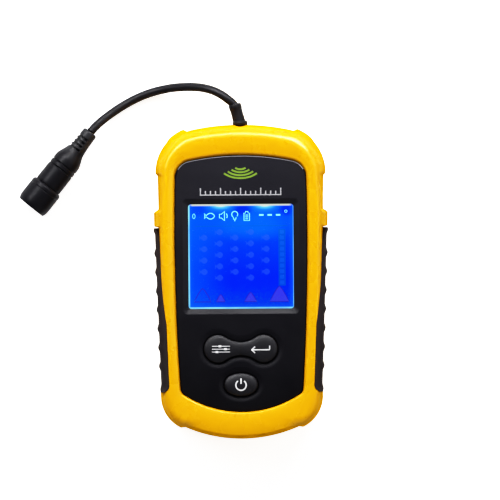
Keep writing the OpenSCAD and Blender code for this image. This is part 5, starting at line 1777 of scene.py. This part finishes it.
class FINDER_OT_display(bpy.types.Operator):
    """Lit display glass with its symbols, and the clear lens over it"""

    bl_idname = "finder.display"
    bl_label = "Display"

    def execute(self, context):
        paint(NODES["lcd_glass"], "screen")
        paint(NODES["display_lens"], "lens")
        low, high = (sizes("front").glass_z + rise for rise in MARK_Z)
        self.symbols(low, high)
        # Segments that aren't driven still show faintly: a shoal, a scale and the sea bed
        model = patch(fish(0, 0, SHOAL_SIZE, SHOAL_FAT), low, high)
        shoal = []
        for column, x in enumerate(SHOAL_X):
            for row in range(4 + column % 2):
                y = (SHOAL_ODD if column % 2 else SHOAL_EVEN) - SHOAL_STEP * row
                shoal.append(copied(model, "fish", (x, y, 0)))
        bpy.data.objects.remove(model)
        settle(joined("ghost_fish", shoal), "ghosts", "case")
        bars = [stroke([(-18.2, 22.0), (18.6, 22.0)], LINE, low, high), patch(SCALE_FIELD, low, high)]
        settle(joined("ghost_scale", bars), "scale_bar", "case")
        model = patch(rounded_rect(CELL_W, CELL_H, CELL_CORNER, 0, 3), low, high + MARK_STEP)
        cells = [copied(model, "cell", (CELL_X, CELL_FIRST + CELL_STEP * k, 0)) for k in range(CELLS)]
        bpy.data.objects.remove(model)
        settle(joined("ghost_cells", cells), "scale_cells", "case")
        hills, outlines = [], []
        for x, wide, rise in HILLS:
            points = [(x + wide * share, HILLS_FOOT + rise * (1 - abs(share) ** HILL_ROUND))
                      for share in HILL_SHARES]
            if x > FILLED_FROM:
                hills.append(patch(points, low, high))
            outlines.append(stroke(points, HILL_LINE, low, high + MARK_STEP, closed=True))
        settle(joined("ghost_bed", hills), "mounds", "case")
        settle(joined("ghost_bed_lines", outlines), "mound_lines", "case")
        return {"FINISHED"}

    def symbols(self, low, high):
        """A fish, a speaker, a lamp, a cell, three dashes and two noughts, in a row."""
        y = ROW_Y
        paths = [(fish(-12.5, y, 2.05, 1.5), True),
                 ([(-8.5, y - 0.75), (-7.7, y - 0.75), (-6.5, y - 1.9), (-6.5, y + 1.9),
                   (-7.7, y + 0.75), (-8.5, y + 0.75)], True),
                 (arc((-6.9, y), 1.5, -0.75, 0.75, 8), False),
                 (arc((-2.4, y + 0.65), 1.2, math.radians(-55), math.radians(235), 18), False),
                 ([(-2.95, y - 0.5), (-2.8, y - 1.3), (-2.0, y - 1.3), (-1.85, y - 0.5)], False),
                 ([(-2.65, y - 1.85), (-2.15, y - 1.85)], False),
                 ([(1.3, y - 1.85), (3.5, y - 1.85), (3.5, y + 1.15), (2.9, y + 1.15),
                   (2.9, y + 1.75), (1.9, y + 1.75), (1.9, y + 1.15), (1.3, y + 1.15)], True)]
        lines = [stroke(path, LINE, low, high, closed=closed) for path, closed in paths]
        for k in range(3):
            bar = y - 1.15 + BAR_STEP * k
            lines.append(stroke([(1.85, bar), (2.95, bar)], BAR, low, high))
            shift = DASH_STEP * k
            lines.append(stroke([(7.3 + shift, y + 0.35), (9.1 + shift, y + 0.35)], DASH, low, high))
        lines.append(stroke(ellipse(-18.7, y, 0.5, 0.95), THIN_LINE, low, high, closed=True))
        lines.append(stroke(ellipse(18.0, y + 1.8, 0.5, 0.5, 12), THIN_LINE, low, high, closed=True))
        settle(joined("screen_symbols", lines), "symbols", "case")


# Inner parts


INNER_FINISHES = {
    "case_seal": "rubber", "case_screws": "steel", "light_guide": "guide",
    "backlight_leds": "white", "lcd_frame": "white", "contact_strip": "rubber",
    "main_board": "board", "board_screws": "steel", "contact_pads": "gold",
    "processor_chip": "chip", "receiver_chip": "chip", "pulse_transformer": "ferrite",
    "capacitor_cans": "can", "alarm_buzzer": "chip", "lead_socket": "white",
    "sonar_leads": "red_wire", "battery_leads": "black_wire", "keypad_mat": "rubber",
    "setup_pill": "rubber", "enter_pill": "rubber", "power_pill": "rubber",
    "battery_tray": "tray", "contact_plates": "steel", "contact_springs": "steel",
    "battery_1": "cell", "battery_2": "cell", "battery_3": "cell", "battery_4": "cell",
    "socket_insert": "tray", "socket_contacts": "gold", "socket_seal": "seal",
}


class FINDER_OT_inner_parts(bpy.types.Operator):
    """Finishes of the pieces inside the case, the battery bay and the socket"""

    bl_idname = "finder.inner_parts"
    bl_label = "Inner parts"

    def execute(self, context):
        for node, look in INNER_FINISHES.items():
            paint(NODES[node], look)
        return {"FINISHED"}


# Add-on


OPERATORS = (FINDER_OT_stage, FINDER_OT_lead, FINDER_OT_connector, FINDER_OT_front_shell,
             FINDER_OT_rear_shell, FINDER_OT_battery_door, FINDER_OT_grips, FINDER_OT_panel,
             FINDER_OT_keys, FINDER_OT_display, FINDER_OT_inner_parts)


class FINDER_PT_sidebar(bpy.types.Panel):
    """Sizes, colours and pieces of the fish finder"""

    bl_idname = "FINDER_PT_sidebar"
    bl_label = "Fish finder"
    bl_space_type = "VIEW_3D"
    bl_region_type = "UI"
    bl_category = "Fish finder"

    def draw(self, context):
        for name, kind in GROUPS.items():
            box = self.layout.box()
            box.label(text=kind.__doc__)
            for key in kind.__annotations__:
                box.prop(settings(name), key)
        for operator in OPERATORS:
            self.layout.operator(operator.bl_idname)


CLASSES = (*GROUPS.values(), *OPERATORS, FINDER_PT_sidebar)


def register():
    for kind in CLASSES:
        bpy.utils.register_class(kind)
    for name, kind in GROUPS.items():
        setattr(bpy.types.Scene, "finder_" + name, PointerProperty(type=kind))


def unregister():
    for name in GROUPS:
        delattr(bpy.types.Scene, "finder_" + name)
    for kind in reversed(CLASSES):
        bpy.utils.unregister_class(kind)


def main():
    register()
    for operator in OPERATORS:
        area, name = operator.bl_idname.split(".")
        getattr(getattr(bpy.ops, area), name)()
    deselect()


if __name__ == "__main__":
    main()
